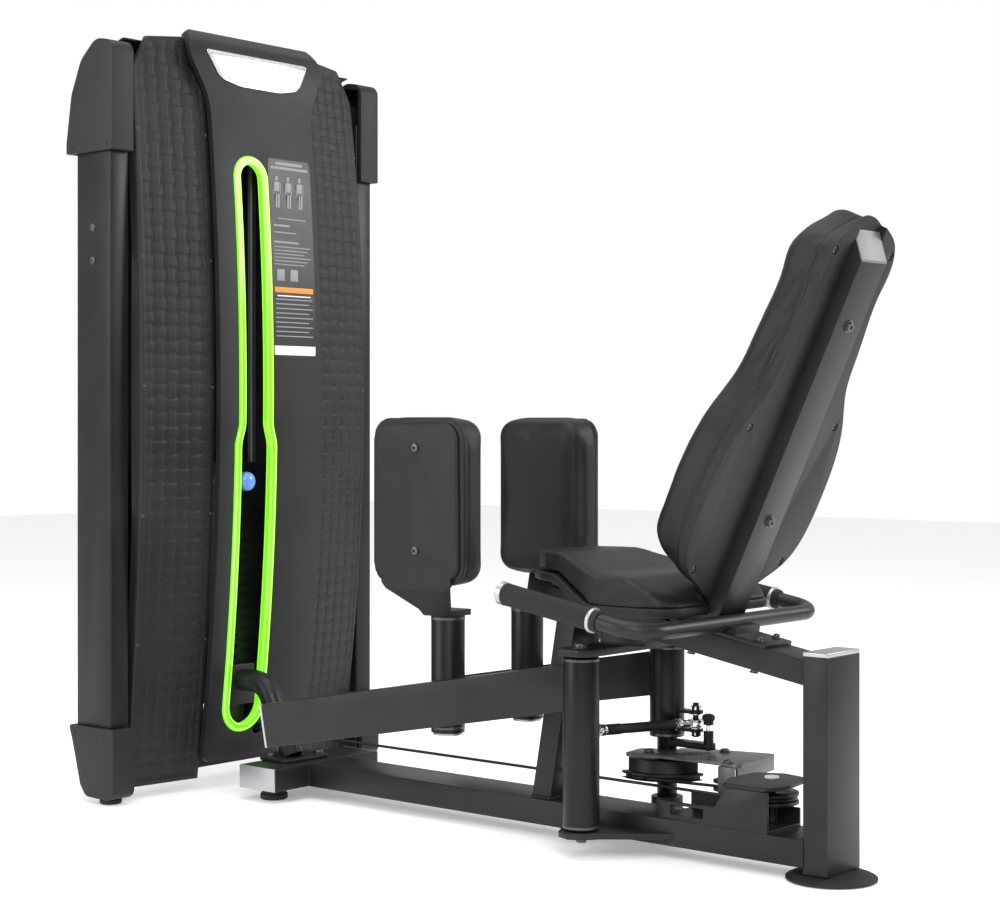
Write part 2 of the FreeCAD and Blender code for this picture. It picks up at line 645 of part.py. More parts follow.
inner_y = val("upright_in")
outer_y = 410.0
upper_profile = [(rear - 1544, 1406), (rear - 1544, 1640), (rear - 1600, 1650), (rear - 1650, 1608),
    (rear - 1683, 1535),
                 (rear - 1700, 1430), (rear - 1700, 1406)]
upper_inner = [(rear - 1556, 1400), (rear - 1556, 1628), (rear - 1600, 1637), (rear - 1643, 1598),
    (rear - 1676, 1560),
               (rear - 1690, 1430), (rear - 1690, 1400)]
lower_profile = [(rear - 1541, 165), (rear - 1692, 165), (rear - 1680, 132), (rear - 1668, 92),
    (rear - 1653, 38), (rear - 1634, 14),
                 (rear - 1560, 12), (rear - 1541, 22)]
lower_inner = [(rear - 1553, 170), (rear - 1682, 170), (rear - 1676.5, 139), (rear - 1663, 108),
    (rear - 1645, 44), (rear - 1631, 19.9),
               (rear - 1560, 20), (rear - 1553, 24)]
uppers = []
lowers = []
for side in (-1, 1):
    shell = plate(upper_profile, [4, 26, 40, 60, 60, 20, 4], "y", inner_y, outer_y)
    shell = shell.cut(plate(upper_inner, 0, "y", inner_y - 1, val("upright_in+upright_width") + 0.2))
    foot = plate(lower_profile, [4, 6, 10, 20, 18, 20, 20, 20], "y", inner_y, outer_y)
    foot = foot.cut(plate(lower_inner, 0, "y", inner_y - 1, val("upright_in+upright_width") + 0.2))
    foot = foot.cut(Part.makeCylinder(24, 20, Vector(rear - 1590, inner_y + 25, 0)))
    if side < 0:
        shell = shell.mirror(Vector(0, 0, 0), Vector(0, 1, 0))
        foot = foot.mirror(Vector(0, 0, 0), Vector(0, 1, 0))
    uppers.append(shell)
    lowers.append(foot)
node(feature("UpperSideCovers", Part.makeCompound(uppers)), "upper_side_covers")
node(feature("LowerSideCovers", Part.makeCompound(lowers)), "lower_side_covers")

cover_outer = [(rear - 1706, 165), (rear - 1706, 1430), (rear - 1689, 1537), (rear - 1655, 1613),
    (rear - 1602, 1656), (rear - 1585, 1659)]
cover_inner = [(rear - 1585, 1655), (rear - 1601, 1652), (rear - 1652, 1610), (rear - 1685.4, 1535.5),
    (rear - 1702, 1430), (rear - 1702, 165)]
rear_cover = plate(cover_outer + cover_inner, [0, 60, 60, 60, 30, 0, 0, 30, 60, 60, 60, 0], "y", -345.0,
    345.0)
node(feature("RearCover", rear_cover), "rear_cover")

# --- Pulleys and their brackets ---------------------------------------------------------


def pulley(name, label, center_at, radius, axis, bore):
    """A grooved wheel with a bearing bore, its groove round the cable's pitch circle."""
    half = "pulley_width/2"
    low = list(center_at)
    slot = {"x": 0, "y": 1, "z": 2}[axis]
    low[slot] = "(%s)-%s" % (center_at[slot], half)
    disc = rod(name + "_disc", "%s+pulley_flange" % radius, low, "pulley_width", axis)
    ring_low = list(center_at)
    ring_low[slot] = "(%s)-groove_half" % center_at[slot]
    ring_out = rod(name + "_ring_out", "%s+pulley_flange+5" % radius, ring_low, "2*groove_half", axis)
    ring_in = rod(name + "_ring_in", "%s-cable_radius-0.3" % radius, ring_low, "2*groove_half", axis)
    groove = cut(name + "_groove", ring_out, ring_in)
    hole = rod(name + "_bore", bore, low, "pulley_width", axis)
    return node(cut(name, disc, groove, hole), label)


AXLE = "8"
AXLE_BORE = "8.05"
TOP = (TOWER + "-pulley_radius", "stack_y", "top_pulley_z")
BOTTOM = (TOWER + "-pulley_radius", "0", "cable_z+pulley_radius")
REAR = ("rear_x-rear_pulley_x", "rear_pulley_y", "cable_z")
GUIDE = ("rear_x-guide_pulley_x", "guide_pulley_y", "cable_z")
pulley("TopPulley", "top_pulley", TOP, "pulley_radius", "y", AXLE_BORE)
pulley("BottomPulley", "bottom_pulley", BOTTOM, "pulley_radius", "y", AXLE_BORE)
pulley("RearPulley", "rear_pulley", REAR, "rear_pulley_y", "z", AXLE_BORE)
pulley("GuidePulley", "guide_pulley", GUIDE, "guide_pulley_r", "z", AXLE_BORE)

brackets = []
for tag, spot, low_z, high_z in (("top", TOP, "top_pulley_z-20", "upright_top"), ("bottom", BOTTOM, "88",
    "cable_z+pulley_radius+20")):
    cheeks = []
    for index, (low, high) in enumerate((("-18", "-13"), ("13", "18"))):
        cheeks.append(block("%s_cheek_%d" % (tag, index), (spot[0] + "-12", spot[0] + "+18"),
            (spot[1] + low, spot[1] + "+" + high
                            if not high.startswith("-") else spot[1] + high), (low_z, high_z)))
    cheeks[1].setExpression("Placement.Base.y", expr("%s+13" % spot[1]))
    cheeks[1].setExpression("Width", expr("5"))
    axle = rod(tag + "_axle", AXLE, (spot[0], spot[1] + "-18", spot[2]), "36", "y")
    brackets.append(fuse(tag + "_bracket", cheeks[0], cheeks[1], axle))
CHANNEL_X = ("rear_x-368", "rear_x-125")
floor = block("channel_floor", CHANNEL_X, ("-base_half", "base_half"), ("base_top", "base_top+5"))
near = prism("channel_near", "xz", [("rear_x-368", "base_top"), ("rear_x-125", "base_top"), ("rear_x-125",
    "150"), ("rear_x-215", "150"),
                                    ("rear_x-240", "110"), ("rear_x-368", "110")], "-base_half",
                                        "-base_half+5")
bind(near, Placement__Base__y="-base_half")
window = block("channel_window", ("rear_x-340", "rear_x-265"), ("-base_half-5", "-base_half+10"),
    ("base_top+10", "104"))
far = block("channel_far", CHANNEL_X, ("base_half-5", "base_half"), ("base_top", "108"))
axle = rod("rear_axle", AXLE, ("rear_x-rear_pulley_x", "rear_pulley_y", "base_top"), "150-base_top")
washer = rod("rear_washer", "16", ("rear_x-rear_pulley_x", "rear_pulley_y", "base_top"),
    "cable_z-pulley_width/2-1-base_top")
brackets.append(cut("channel", fuse("channel_solid", floor, near, far, axle, washer), window))
node(group("PulleyBrackets", *brackets), "pulley_brackets")

cover_x = rear - val("rear_pulley_x")
cover_y = val("rear_pulley_y")
cover = plate([(cover_x - 42, cover_y - 102.5), (cover_x + 50, cover_y - 102.5), (cover_x + 66,
    cover_y - 40), (cover_x + 52, cover_y + 48),
               (cover_x - 10, cover_y + 62), (cover_x - 60, cover_y + 34), (cover_x - 64, cover_y - 50)],
                   14.0, "z", 150.0, 158.0)
node(feature("RearPulleyCover", cover), "rear_pulley_cover")

guide_low = val("guide_plate_bottom")
guide_high = guide_low + val("guide_plate_thick")
pivot_x = val(PIVOT)
pivot_y = val("pivot_y")
guide_points = [(rear - 515, 25), (rear - 525, 100), (rear - 434, 178), (rear - 276, 218), (rear - 262,
    62), (rear - 440, 55)]
guide = plate(guide_points, [18, 14, 20, 16, 8, 60], "z", guide_low, guide_high)
guide = guide.cut(Part.makeCylinder(26, 60, Vector(pivot_x, pivot_y, guide_low - 20)))
for index in range(7):
    turn = math.radians(-index * val("index_step"))
    reach = val("index_radius")
    guide = guide.cut(Part.makeCylinder(5, 60, Vector(pivot_x + reach * math.cos(turn),
        pivot_y + reach * math.sin(turn), guide_low - 20)))
flange_wall = Part.makeBox(5, 150, 26, Vector(rear - 273, 63, guide_low - 26))
flange_wall.rotate(Vector(rear - 273, 63, 0), Vector(0, 0, 1), 5.0)
hanger = Part.makeBox(36, 5, guide_low - 108, Vector(rear - 306, val("base_half") - 5, 108))
shelf = Part.makeBox(36, 14, 4, Vector(rear - 306, val("base_half") - 5, guide_low - 4))
guide_axle = Part.makeCylinder(8, guide_low - 108, Vector(rear - val("guide_pulley_x"),
    val("guide_pulley_y"), 108))
guide_washer = Part.makeCylinder(13, 3, Vector(rear - val("guide_pulley_x"), val("guide_pulley_y"), 108))
node(feature("GuidePlate", guide.fuse([flange_wall, hanger, shelf, guide_axle,
    guide_washer]).removeSplitter()), "guide_plate")

# --- Drive cable ------------------------------------------------------------------------


def cable(points_and_arcs, radius):
    """A cable along given straight and arc edges."""
    wire = Part.Wire(points_and_arcs)
    first = points_and_arcs[0]
    start = first.valueAt(first.FirstParameter)
    direction = first.tangentAt(first.FirstParameter)
    return wire.makePipeShell([Part.Wire([Part.makeCircle(radius, start, direction)])], True, False)


def arc(center_at, radius, start, end, plane):
    """An arc edge about a centre, angles in degrees in the xz or xy plane."""
    spots = []
    for angle in (start, (start + end) / 2, end):
        a = math.radians(angle)
        across = radius * math.cos(a)
        up = radius * math.sin(a)
        spots.append(center_at + (Vector(across, 0, up) if plane == "xz" else Vector(across, up, 0)))
    return Part.Arc(*spots).toShape()


wheel = val("pulley_radius")
cable_r = val("cable_radius")
cable_z = val("cable_z")
tower_x = val(TOWER)
top_center = Vector(tower_x - wheel, slot_y, val("top_pulley_z"))
over = arc(top_center, wheel, 0, 180, "xz")
low_center = Vector(tower_x - wheel, 0, cable_z + wheel)
drop = Part.LineSegment(top_center + Vector(-wheel, 0, 0), low_center + Vector(-wheel, 0, 0)).toShape()
under = arc(low_center, wheel, 180, 270, "xz")
rear_center = Vector(rear - val("rear_pulley_x"), cover_y, cable_z)
long_run = Part.LineSegment(low_center + Vector(0, 0, -wheel), rear_center + Vector(0, -cover_y,
    0)).toShape()
cam_r = val("cam_radius")
cam_center = Vector(pivot_x, pivot_y, cable_z)
# The return run is the common tangent of the rear pulley and the cam's groove.
span = cam_center - rear_center
apart = math.hypot(span.x, span.y)
line_angle = math.degrees(math.atan2(span.y, span.x))
# Signed radii differ in side, so this is the crossed tangent.
twist = math.degrees(math.acos((cover_y + cam_r) / apart))
leave = line_angle - twist
meet = leave + 180.0
around = arc(rear_center, cover_y, -90, leave, "xy")
start_run = rear_center + Vector(cover_y * math.cos(math.radians(leave)),
    cover_y * math.sin(math.radians(leave)), 0)
end_run = cam_center + Vector(cam_r * math.cos(math.radians(meet)), cam_r * math.sin(math.radians(meet)), 0)
toward = end_run - start_run
toward.normalize()
end_run = end_run - toward * 3.0
back_run = Part.LineSegment(start_run, end_run).toShape()
pieces = [cable([over], cable_r), cable([drop], cable_r), cable([under, long_run, around, back_run],
    cable_r)]
node(feature("DriveCable", Part.makeCompound(pieces)), "drive_cable")
print("cable leaves the rear pulley at", round(leave, 1), "and meets the cam at", round(meet, 1))
print("cable volumes", [round(p.Volume) for p in pieces], [p.isValid() for p in pieces])

sector = Part.makeCylinder(cam_r + 5, 14, Vector(pivot_x, pivot_y, 118), Vector(0, 0, 1), 115)
sector.rotate(Vector(pivot_x, pivot_y, 0), Vector(0, 0, 1), meet - 40)
drum = Part.makeCylinder(cam_r - 9, 25, Vector(pivot_x, pivot_y, 132), Vector(0, 0, 1), 115)
drum.rotate(Vector(pivot_x, pivot_y, 0), Vector(0, 0, 1), meet - 40)
hub = Part.makeCylinder(34, 39, Vector(pivot_x, pivot_y, 118))
cam = sector.fuse([drum, hub]).removeSplitter()
groove_ring = Part.makeCylinder(cam_r + 12, 7, Vector(pivot_x, pivot_y, cable_z - 3.5))
groove_ring = groove_ring.cut(Part.makeCylinder(cam_r - cable_r - 0.3, 7, Vector(pivot_x, pivot_y,
    cable_z - 3.5)))
cam = cam.cut(groove_ring).cut(Part.makeCylinder(val("shaft_radius"), 60, Vector(pivot_x, pivot_y, 110)))
node(feature("DriveCam", cam), "drive_cam")
held = cable([arc(cam_center, cam_r, meet - 19.3, meet - 0.6, "xy")], cable_r)
node(feature("CamCable", held), "cam_cable")

# --- Arms -------------------------------------------------------------------------------


def lug(name, angle, low, high, hole):
    """A crank lug that reaches from the sleeve to the tie rod's centre."""
    bar = block(name + "_bar", ("20", "crank"), ("-14", "14"), (low, high))
    nose = rod(name + "_nose", "15", ("crank", "0", low), "(%s)-(%s)" % (high, low))
    solid = fuse(name + "_solid", bar, nose)
    drilled = cut(name + "_drilled", solid, rod(name + "_hole", hole, ("crank", "0", low + "-2"),
        "(%s)-(%s)+4" % (high, low)))
    return place(drilled, "0", "0", "0", (0, 0, 1), angle)


def arm(side, tag):
    """One arm's beam, pad post and silver caps, in a frame along -X from its pivot."""
    inward = "1" if side < 0 else "-1"
    ref = ("0", "arm_top_z")
    solid = tilted(tag + "_beam_out", ref, "-arm_pitch", ("-arm_length+5", "-20"), ("-arm_half",
        "arm_half"), ("-arm_depth", "0"))
    hollow = tilted(tag + "_beam_in", ref, "-arm_pitch", ("-arm_length+5", "-60"), ("-arm_half+arm_wall",
        "arm_half-arm_wall"),
                    ("-arm_depth+arm_wall", "-arm_wall"))
    bite = rod(tag + "_beam_bite", "sleeve_radius", ("0", "0", "150"), "300")
    beam = cut(tag.title() + "Beam", solid, hollow, bite)
    place(beam, PIVOT, "%d*pivot_y" % side, "0", (0, 0, 1), "%d*splay" % -side)
    node(beam, tag + "_beam")
    post_y = inward + "*pad_post_in"
    post = rod(tag + "_post_tube", "pad_post_radius", ("-pad_post_t", post_y, "pad_post_bottom"),
        "pad_post_top-pad_post_bottom")
    if side < 0:
        reach = ("arm_half", "pad_post_in")
    else:
        reach = ("-pad_post_in", "-arm_half")
    web = block(tag + "_post_web", ("-pad_post_t-24", "-pad_post_t+24"), reach, ("232", "292"))
    tab_y = ("arm_half", "arm_half+12") if side < 0 else ("-arm_half-12", "-arm_half")
    tab = block(tag + "_post_tab", ("-pad_post_t-34", "-pad_post_t+34"), tab_y, ("224", "300"))
    body = fuse(tag + "_post_solid", post, web, tab)
    bore = rod(tag + "_post_bore", "spindle_radius+running_gap", ("-pad_post_t", post_y,
        "pad_post_top-90"), "100")
    finished = cut(tag.title() + "PadPost", body, bore)
    place(finished, PIVOT, "%d*pivot_y" % side, "0", (0, 0, 1), "%d*splay" % -side)
    node(finished, tag + "_pad_post")
    end_cap = tilted(tag + "_end_cap", ref, "-arm_pitch", ("-arm_length", "-arm_length+5"), ("-arm_half",
        "arm_half"), ("-arm_depth", "0"))
    post_cap = rod(tag + "_post_cap", "30", ("-pad_post_t", post_y, "pad_post_bottom-5.5"), "5.5")
    caps = group(tag.title() + "ArmCaps", end_cap, post_cap)
    place(caps, PIVOT, "%d*pivot_y" % side, "0", (0, 0, 1), "%d*splay" % -side)
    node(caps, tag + "_arm_caps")


arm(-1, "left")
arm(1, "right")

sleeve = rod("left_sleeve_tube", "sleeve_radius", ("0", "0", "left_sleeve_bottom"),
    "sleeve_top-left_sleeve_bottom")
low_lug = lug("left_lug", "left_crank_angle", "203", "215", "6")
left_stud = rod("left_stud", "9", ("crank*cos(left_crank_angle)", "crank*sin(left_crank_angle)", "190"),
    "13")
left_bore = rod("left_sleeve_bore", "spindle_radius+running_gap", ("0", "0", "left_sleeve_bottom-5"), "400")
left = cut("LeftSleeve", fuse("left_sleeve_solid", sleeve, low_lug, left_stud), left_bore)
place(left, PIVOT, "-pivot_y", "0")
node(left, "left_sleeve")

sleeve = rod("right_sleeve_tube", "sleeve_radius", ("0", "0", "right_sleeve_bottom"),
    "sleeve_top-right_sleeve_bottom")
shaft = rod("right_shaft", "shaft_radius", ("0", "0", "46.2"), "right_sleeve_bottom-46.2")
lugs = [lug("right_lug_%d" % i, "right_crank_angle", low, high, "6") for i,
    (low, high) in enumerate((("209", "215"), ("245", "251")))]
bolt = rod("crank_bolt", "6", ("crank*cos(right_crank_angle)", "crank*sin(right_crank_angle)", "198"), "68")
heads = [rod("crank_bolt_head_%d" % i, "10", ("crank*cos(right_crank_angle)",
    "crank*sin(right_crank_angle)", z), "9")
         for i, z in enumerate(("200", "251"))]
lever_bar = block("lever_bar", ("0", "index_radius"), ("-14", "14"), ("178", "190"))
lever_nose = rod("lever_nose", "14", ("index_radius", "0", "178"), "12")
barrel = rod("plunger_barrel", "10", ("index_radius", "0", "190"), "24")
plunger_hole = rod("plunger_hole", "4.55", ("index_radius", "0", "170"), "60")
right_bore = rod("right_sleeve_bore", "spindle_radius+running_gap", ("0", "0", "296"), "100")
right = cut("RightSleeve", fuse("right_sleeve_solid", sleeve, shaft, lugs[0], lugs[1], bolt, heads[0],
    heads[1], lever_bar, lever_nose, barrel),
            right_bore, plunger_hole)
place(right, PIVOT, "pivot_y", "0")
node(right, "right_sleeve")

plunger = rod("plunger", "4.5", (PIVOT + "+index_radius", "pivot_y", "173"), "61")
plunger_knob = rod("plunger_knob", "13", (PIVOT + "+index_radius", "pivot_y", "226"), "22")
node(fuse("RangePin", plunger, plunger_knob), "range_pin")

# Tie rod between the two cranks.
right_ball = Vector(pivot_x + val("crank*cos(right_crank_angle)"),
    pivot_y + val("crank*sin(right_crank_angle)"), val("rod_z"))
left_ball = Vector(pivot_x + val("crank*cos(left_crank_angle)"),
    -pivot_y + val("crank*sin(left_crank_angle)"), val("rod_z"))
way = left_ball - right_ball
length = way.Length
print("tie rod length", round(length, 2))
way.normalize()
bar = Part.makeCylinder(val("rod_radius"), length - 70, right_ball + way * 35, way)
right_eye = Part.makeCylinder(16, 14, right_ball - Vector(0, 0, 7))
left_eye = Part.makeCylinder(17, 20, left_ball - Vector(0, 0, 10))
necks = [Part.makeCylinder(6.5, 30, right_ball + way * 10, way), Part.makeCylinder(6.5, 30,
    left_ball - way * 40, way)]
nuts = [Part.makeCylinder(12, 10, right_ball + way * 36, way), Part.makeCylinder(12, 10,
    left_ball - way * 46, way)]
tie = bar.fuse([right_eye, left_eye] + necks + nuts)
tie = tie.cut(Part.makeCylinder(6.05, 40, right_ball - Vector(0, 0, 20))).removeSplitter()
node(feature("TieRod", tie), "tie_rod")

# --- Thigh pads -------------------------------------------------------------------------


def pad(side, tag):
    """A thigh pad and its bent frame, turning on the pad post; y is outward from the post."""
    half = val("pad_width") / 2
    low = val("pad_bottom")
    high = val("pad_top")
    inner = val("pad_inner")
    outer = inner + val("pad_thick")
    post_top = val("pad_post_top")
    cushion = plate([(-half, low), (half, low), (half, high), (-half, high)], 42.0, "y", inner, outer)
    front = [edge for edge in cushion.Edges if abs(edge.BoundBox.YMin - inner) < 0.01 and abs(
        edge.BoundBox.YMax - inner) < 0.01]
    cushion = cushion.makeFillet(22.0, front)
    board = plate([(-half + 10, low + 12), (half - 10, low + 12), (half - 14, high - 12), (-half + 14,
        high - 12)], 34.0, "y", outer, outer + 8)
    board = board.makeChamfer(4.0,
        [e for e in board.Edges if abs(e.BoundBox.YMin - outer - 8) < 0.01 and e.BoundBox.YLength < 0.01])
    bend = [(outer + 8, low + 76), (outer + 8, low - 8), (36, post_top + 0.4), (-32, post_top + 0.4),
        (-32, post_top + 12.4),
            (30, post_top + 12.4), (outer, low - 1.5), (outer, low + 76)]
    strap = Part.Face(Part.makePolygon([Vector(-110, y, z) for y,
        z in bend + bend[:1]])).extrude(Vector(220, 0, 0))
    face = [(-88, low + 76), (-88, low + 4), (-34, post_top + 14), (-34, post_top), (34, post_top),
        (34, post_top + 14), (88, low + 4),
            (88, low + 76)]
    strap = strap.common(plate(face, [30, 12, 0, 0, 0, 0, 12, 30], "y", -60.0, outer + 60))
    foot = Part.makeCylinder(33, 12, Vector(0, 0, post_top + 0.4))
    spindle = Part.makeCylinder(val("spindle_radius"), 80.4, Vector(0, 0, post_top - 80))
    bolts = [Part.makeCylinder(9, 3, Vector(0, outer + 8, z), Vector(0, 1, 0)) for z in (569.0, 772.0)]
    frame = board.fuse([strap, foot, spindle] + bolts).removeSplitter()
    shapes = []
    for shape in (frame, cushion):
        if side < 0:
            shape = shape.mirror(Vector(0, 0, 0), Vector(0, 1, 0))
        shapes.append(shape)
    for shape, name in zip(shapes, ("pad_frame", "pad_cushion")):
        obj = feature(tag.title() + name.title().replace("_", ""), shape)
        place(obj, POST_X, "%d*%s" % (side, POST_Y), "0", (0, 0, 1), "%d*pad_turn" % -side)
        node(obj, "%s_%s" % (tag, name))


pad(-1, "left")
pad(1, "right")

# --- Seat -------------------------------------------------------------------------------
seat_half = val("seat_half")
nose_half = val("seat_front_half")
tray_low = val("tray_bottom")
tray_high = tray_low + val("tray_thick")
plan = [(rear - 258, -150), (rear - 288, -seat_half), (rear - 440, -seat_half), (rear - 610,
    -nose_half - 30), (rear - 662, -nose_half + 12),
        (rear - 662, nose_half - 12), (rear - 610, nose_half + 30), (rear - 440, seat_half), (rear - 288,
            seat_half), (rear - 258, 150)]
plan_radii = [50, 50, 120, 60, 30, 30, 60, 120, 50, 50]


def seat_slice(profile, radii, inset):
    """The seat's side profile cut to its plan outline."""
    side_solid = plate(profile, radii, "y", -230.0, 230.0)
    spots = []
    for x, y in plan:
        spots.append((x + (inset if x < rear - 600 else -inset if x > rear - 290 else 0),
            y - math.copysign(inset, y)))
    return side_solid.common(plate(spots, plan_radii, "z", 430.0, 620.0))


tray_side = [(rear - 250, tray_low), (rear - 250, tray_high), (rear - 440, tray_high), (rear - 560, 531),
    (rear - 680, 531), (rear - 680, 515),
             (rear - 560, 515), (rear - 440, tray_low)]
tray = seat_slice(tray_side, [0, 0, 90, 60, 0, 0, 60, 90], 0.0)
edge_top = tray_high + val("cushion_edge")
soft_side = [(rear - 250, tray_high), (rear - 250, edge_top - 6), (rear - 285, edge_top + 10), (rear - 350,
    edge_top + 18), (rear - 430, edge_top + 20),
             (rear - 545, 572), (rear - 640, 574), (rear - 680, 560), (rear - 680, 531), (rear - 560, 531),
                 (rear - 440, tray_high)]
soft = seat_slice(soft_side, [0, 20, 60, 60, 90, 60, 30, 0, 0, 60, 90], 3.0)
notch = Part.makeBox(150, 2 * val("back_tube_half") + 4, 140, Vector(rear - 282,
    -val("back_tube_half") - 2, 440))
back_frame = Placement(Vector(val(BACK[0]), 0, val(BACK[1])), Rotation(Vector(0, 1, 0), val("back_lean")))
nest = Part.makeBox(126, 420, 260, Vector(-142, -210, 22))
nest.Placement = back_frame.multiply(nest.Placement)
node(feature("SeatBase", tray.cut(notch)), "seat_base")
soft = soft.cut(notch).cut(nest)
node(feature("SeatCushion", max(soft.Solids, key=lambda s: s.Volume) if len(soft.Solids) > 1 else soft),
    "seat_cushion")
print("seat cushion solids", len(soft.Solids), [round(s.Volume) for s in soft.Solids])

base_plate = tilted("seat_plate_bar", BEAM, "lean", ("-230", "-15"), ("-beam_half", "beam_half"),
    ("0", "seat_plate_thick"))
saddle_low = tilted("handle_saddle", BEAM, "lean", ("-140", "-84"), ("-40", "40"), ("seat_plate_thick",
    "22"))
hollow = rod("handle_seat", "handle_radius", (BACK[0] + "+8.6", "-200", "449.8"), "400", "y")
spacer_rear = block("spacer_rear", ("rear_x-426", "rear_x-386"), ("-40", "40"), ("440", "tray_bottom"))
spacer_front = block("spacer_front", ("rear_x-640", "rear_x-600"), ("-40", "40"), ("470", "515"))
below = tilted("below_beam_top", BEAM, "lean", ("-700", "200"), ("-100", "100"), ("-90", "0"))
spacer_a = cut("spacer_a", spacer_rear, below)
below_two = tilted("below_beam_top_two", BEAM, "lean", ("-700", "200"), ("-100", "100"), ("-90", "0"))
spacer_b = cut("spacer_b", spacer_front, below_two)
tube_room = tilted("tube_room", BACK, "back_lean", ("-back_tube_thick", "0"), ("-back_tube_half",
    "back_tube_half"), ("-60", "200"))
saddle_cut = cut("handle_saddle_cut", saddle_low, hollow, tube_room)
plate_solid = fuse("seat_plate_solid", base_plate, saddle_cut)
node(group("SeatPlate", plate_solid, spacer_a, spacer_b), "seat_plate")

# --- Back -------------------------------------------------------------------------------
tube = prism("back_tube_solid", "xz", [("0", "-60"), ("0", "712"), ("-back_tube_thick", "756"),
    ("-back_tube_thick", "-60")],
             "-back_tube_half", "back_tube_half")
bind(tube, Placement__Base__y="-back_tube_half")
bore_box = block("back_tube_bore", ("-back_tube_thick+tube_wall", "-tube_wall"),
    ("-back_tube_half+tube_wall", "back_tube_half-tube_wall"),
                 ("-80", "800"))
hollow_tube = cut("back_tube_hollow", tube, bore_box)
place(hollow_tube, BACK[0], "0", BACK[1], (0, 1, 0), "back_lean")
below_plate = tilted("below_plate", BEAM, "lean", ("-700", "200"), ("-100", "100"),
    ("-120", "seat_plate_thick"))
bar_room = rod("bar_room", "handle_radius", (BACK[0] + "+8.6", "-200", "449.8"), "400", "y")
node(cut("BackTube", hollow_tube, below_plate, bar_room), "back_tube")

HALF_WIDTHS = ((30, 60), (55, 104), (85, 156), (120, 184), (182, 199), (250, 200), (292, 197), (378, 172),
    (461, 129), (523, 121), (584, 113),
               (639, 110), (696, 115), (744, 93), (770, 48))


def back_outline(shrink, depth_at):
    """The back's outline as a smooth closed curve in the tube's own frame."""
    right_side = [Vector(depth_at, w - shrink,
        s + (shrink if s < 100 else -shrink if s > 740 else 0)) for s, w in HALF_WIDTHS]
    left_side = [Vector(depth_at, -p.y, p.z) for p in reversed(right_side)]
    bottom = Vector(depth_at, 0, 27 + shrink)
    top = Vector(depth_at, 0, 786 - shrink)
    curve = Part.BSplineCurve()
    curve.interpolate([bottom] + right_side + [top] + left_side, PeriodicFlag=True)
    return Part.Wire([curve.toShape()])


def back_slab(shrink, near_depth, far_depth):
    face = Part.Face(back_outline(shrink, -near_depth))
    return face.extrude(Vector(near_depth - far_depth, 0, 0))


shell = back_slab(0.0, 26.0, 44.0)
channel = Part.makeBox(14, 2 * val("back_tube_half"), 900, Vector(-40 + 2, -val("back_tube_half"), -60))
shell = shell.cut(channel)
for s, y in ((720, 96), (378, 145), (93, 146)):
    for sign in (-1, 1):
        shell = shell.cut(Part.makeCylinder(8, 6, Vector(-32, sign * y, s), Vector(1, 0, 0)))
cushion_low = back_slab(4.0, 44.0, 104.0)
face_low = back_outline(4.0, -104.0)
face_high = back_outline(26.0, -128.0)
cushion_high = Part.makeLoft([face_low, face_high], True, True)
back_soft = cushion_low.fuse(cushion_high).removeSplitter()
for obj, label in ((feature("BackShell", shell), "back_shell"), (feature("BackCushion", back_soft),
    "back_cushion")):
    place(obj, BACK[0], "0", BACK[1], (0, 1, 0), "back_lean")
    node(obj, label)

# --- Handles ----------------------------------------------------------------------------
bar_x = val(BACK[0]) + 8.6
bar_z = 449.8
reach = 300.0
handle_half = val("handle_half")
lean_x = math.cos(math.radians(val("lean")))
lean_z = math.sin(math.radians(val("lean")))


def along(distance, y):
    """A point on the handle plane, forwards and up from the cross bar."""
    return Vector(bar_x - distance * lean_x, y, bar_z + distance * lean_z)


handle = pipe([along(316, -handle_half), along(0, -handle_half), along(0, handle_half),
    along(316, handle_half)], 60.0, val("handle_radius"))
node(feature("Handlebar", handle), "handlebar")
print("handlebar volume", round(handle.Volume), handle.isValid())
grips = []
rings = []
for side in (-1, 1):
    y = side * handle_half
    forward = along(1, y) - along(0, y)
    skin = Part.makeCylinder(val("grip_radius"), 206, along(110, y), forward)
    grips.append(skin.cut(Part.makeCylinder(val("handle_radius"), 206, along(110, y), forward)))
    ring = Part.makeCylinder(23, 8, along(102, y), forward)
    rings.append(ring.cut(Part.makeCylinder(val("handle_radius"), 8, along(102, y), forward)))
    collar = Part.makeCylinder(20, 10, along(92, y), forward)
    rings.append(collar.cut(Part.makeCylinder(val("handle_radius"), 10, along(92, y), forward)))
    rings.append(Part.makeCylinder(22, 9, along(316, y), forward))
node(feature("HandGrips", Part.makeCompound(grips)), "hand_grips")
node(feature("GripRings", Part.makeCompound(rings)), "grip_rings")

# --- Bolts ------------------------------------------------------------------------------
bolts = []


def bolt_up(x, y, z, radius=10.0, height=8.0):
    washer = Part.makeCylinder(radius * 1.45, 2.0, Vector(x, y, z))
    top = Part.makeCylinder(radius, height - 2.0, Vector(x, y, z + 2.0))
    bolts.append(washer.fuse(top).removeSplitter())


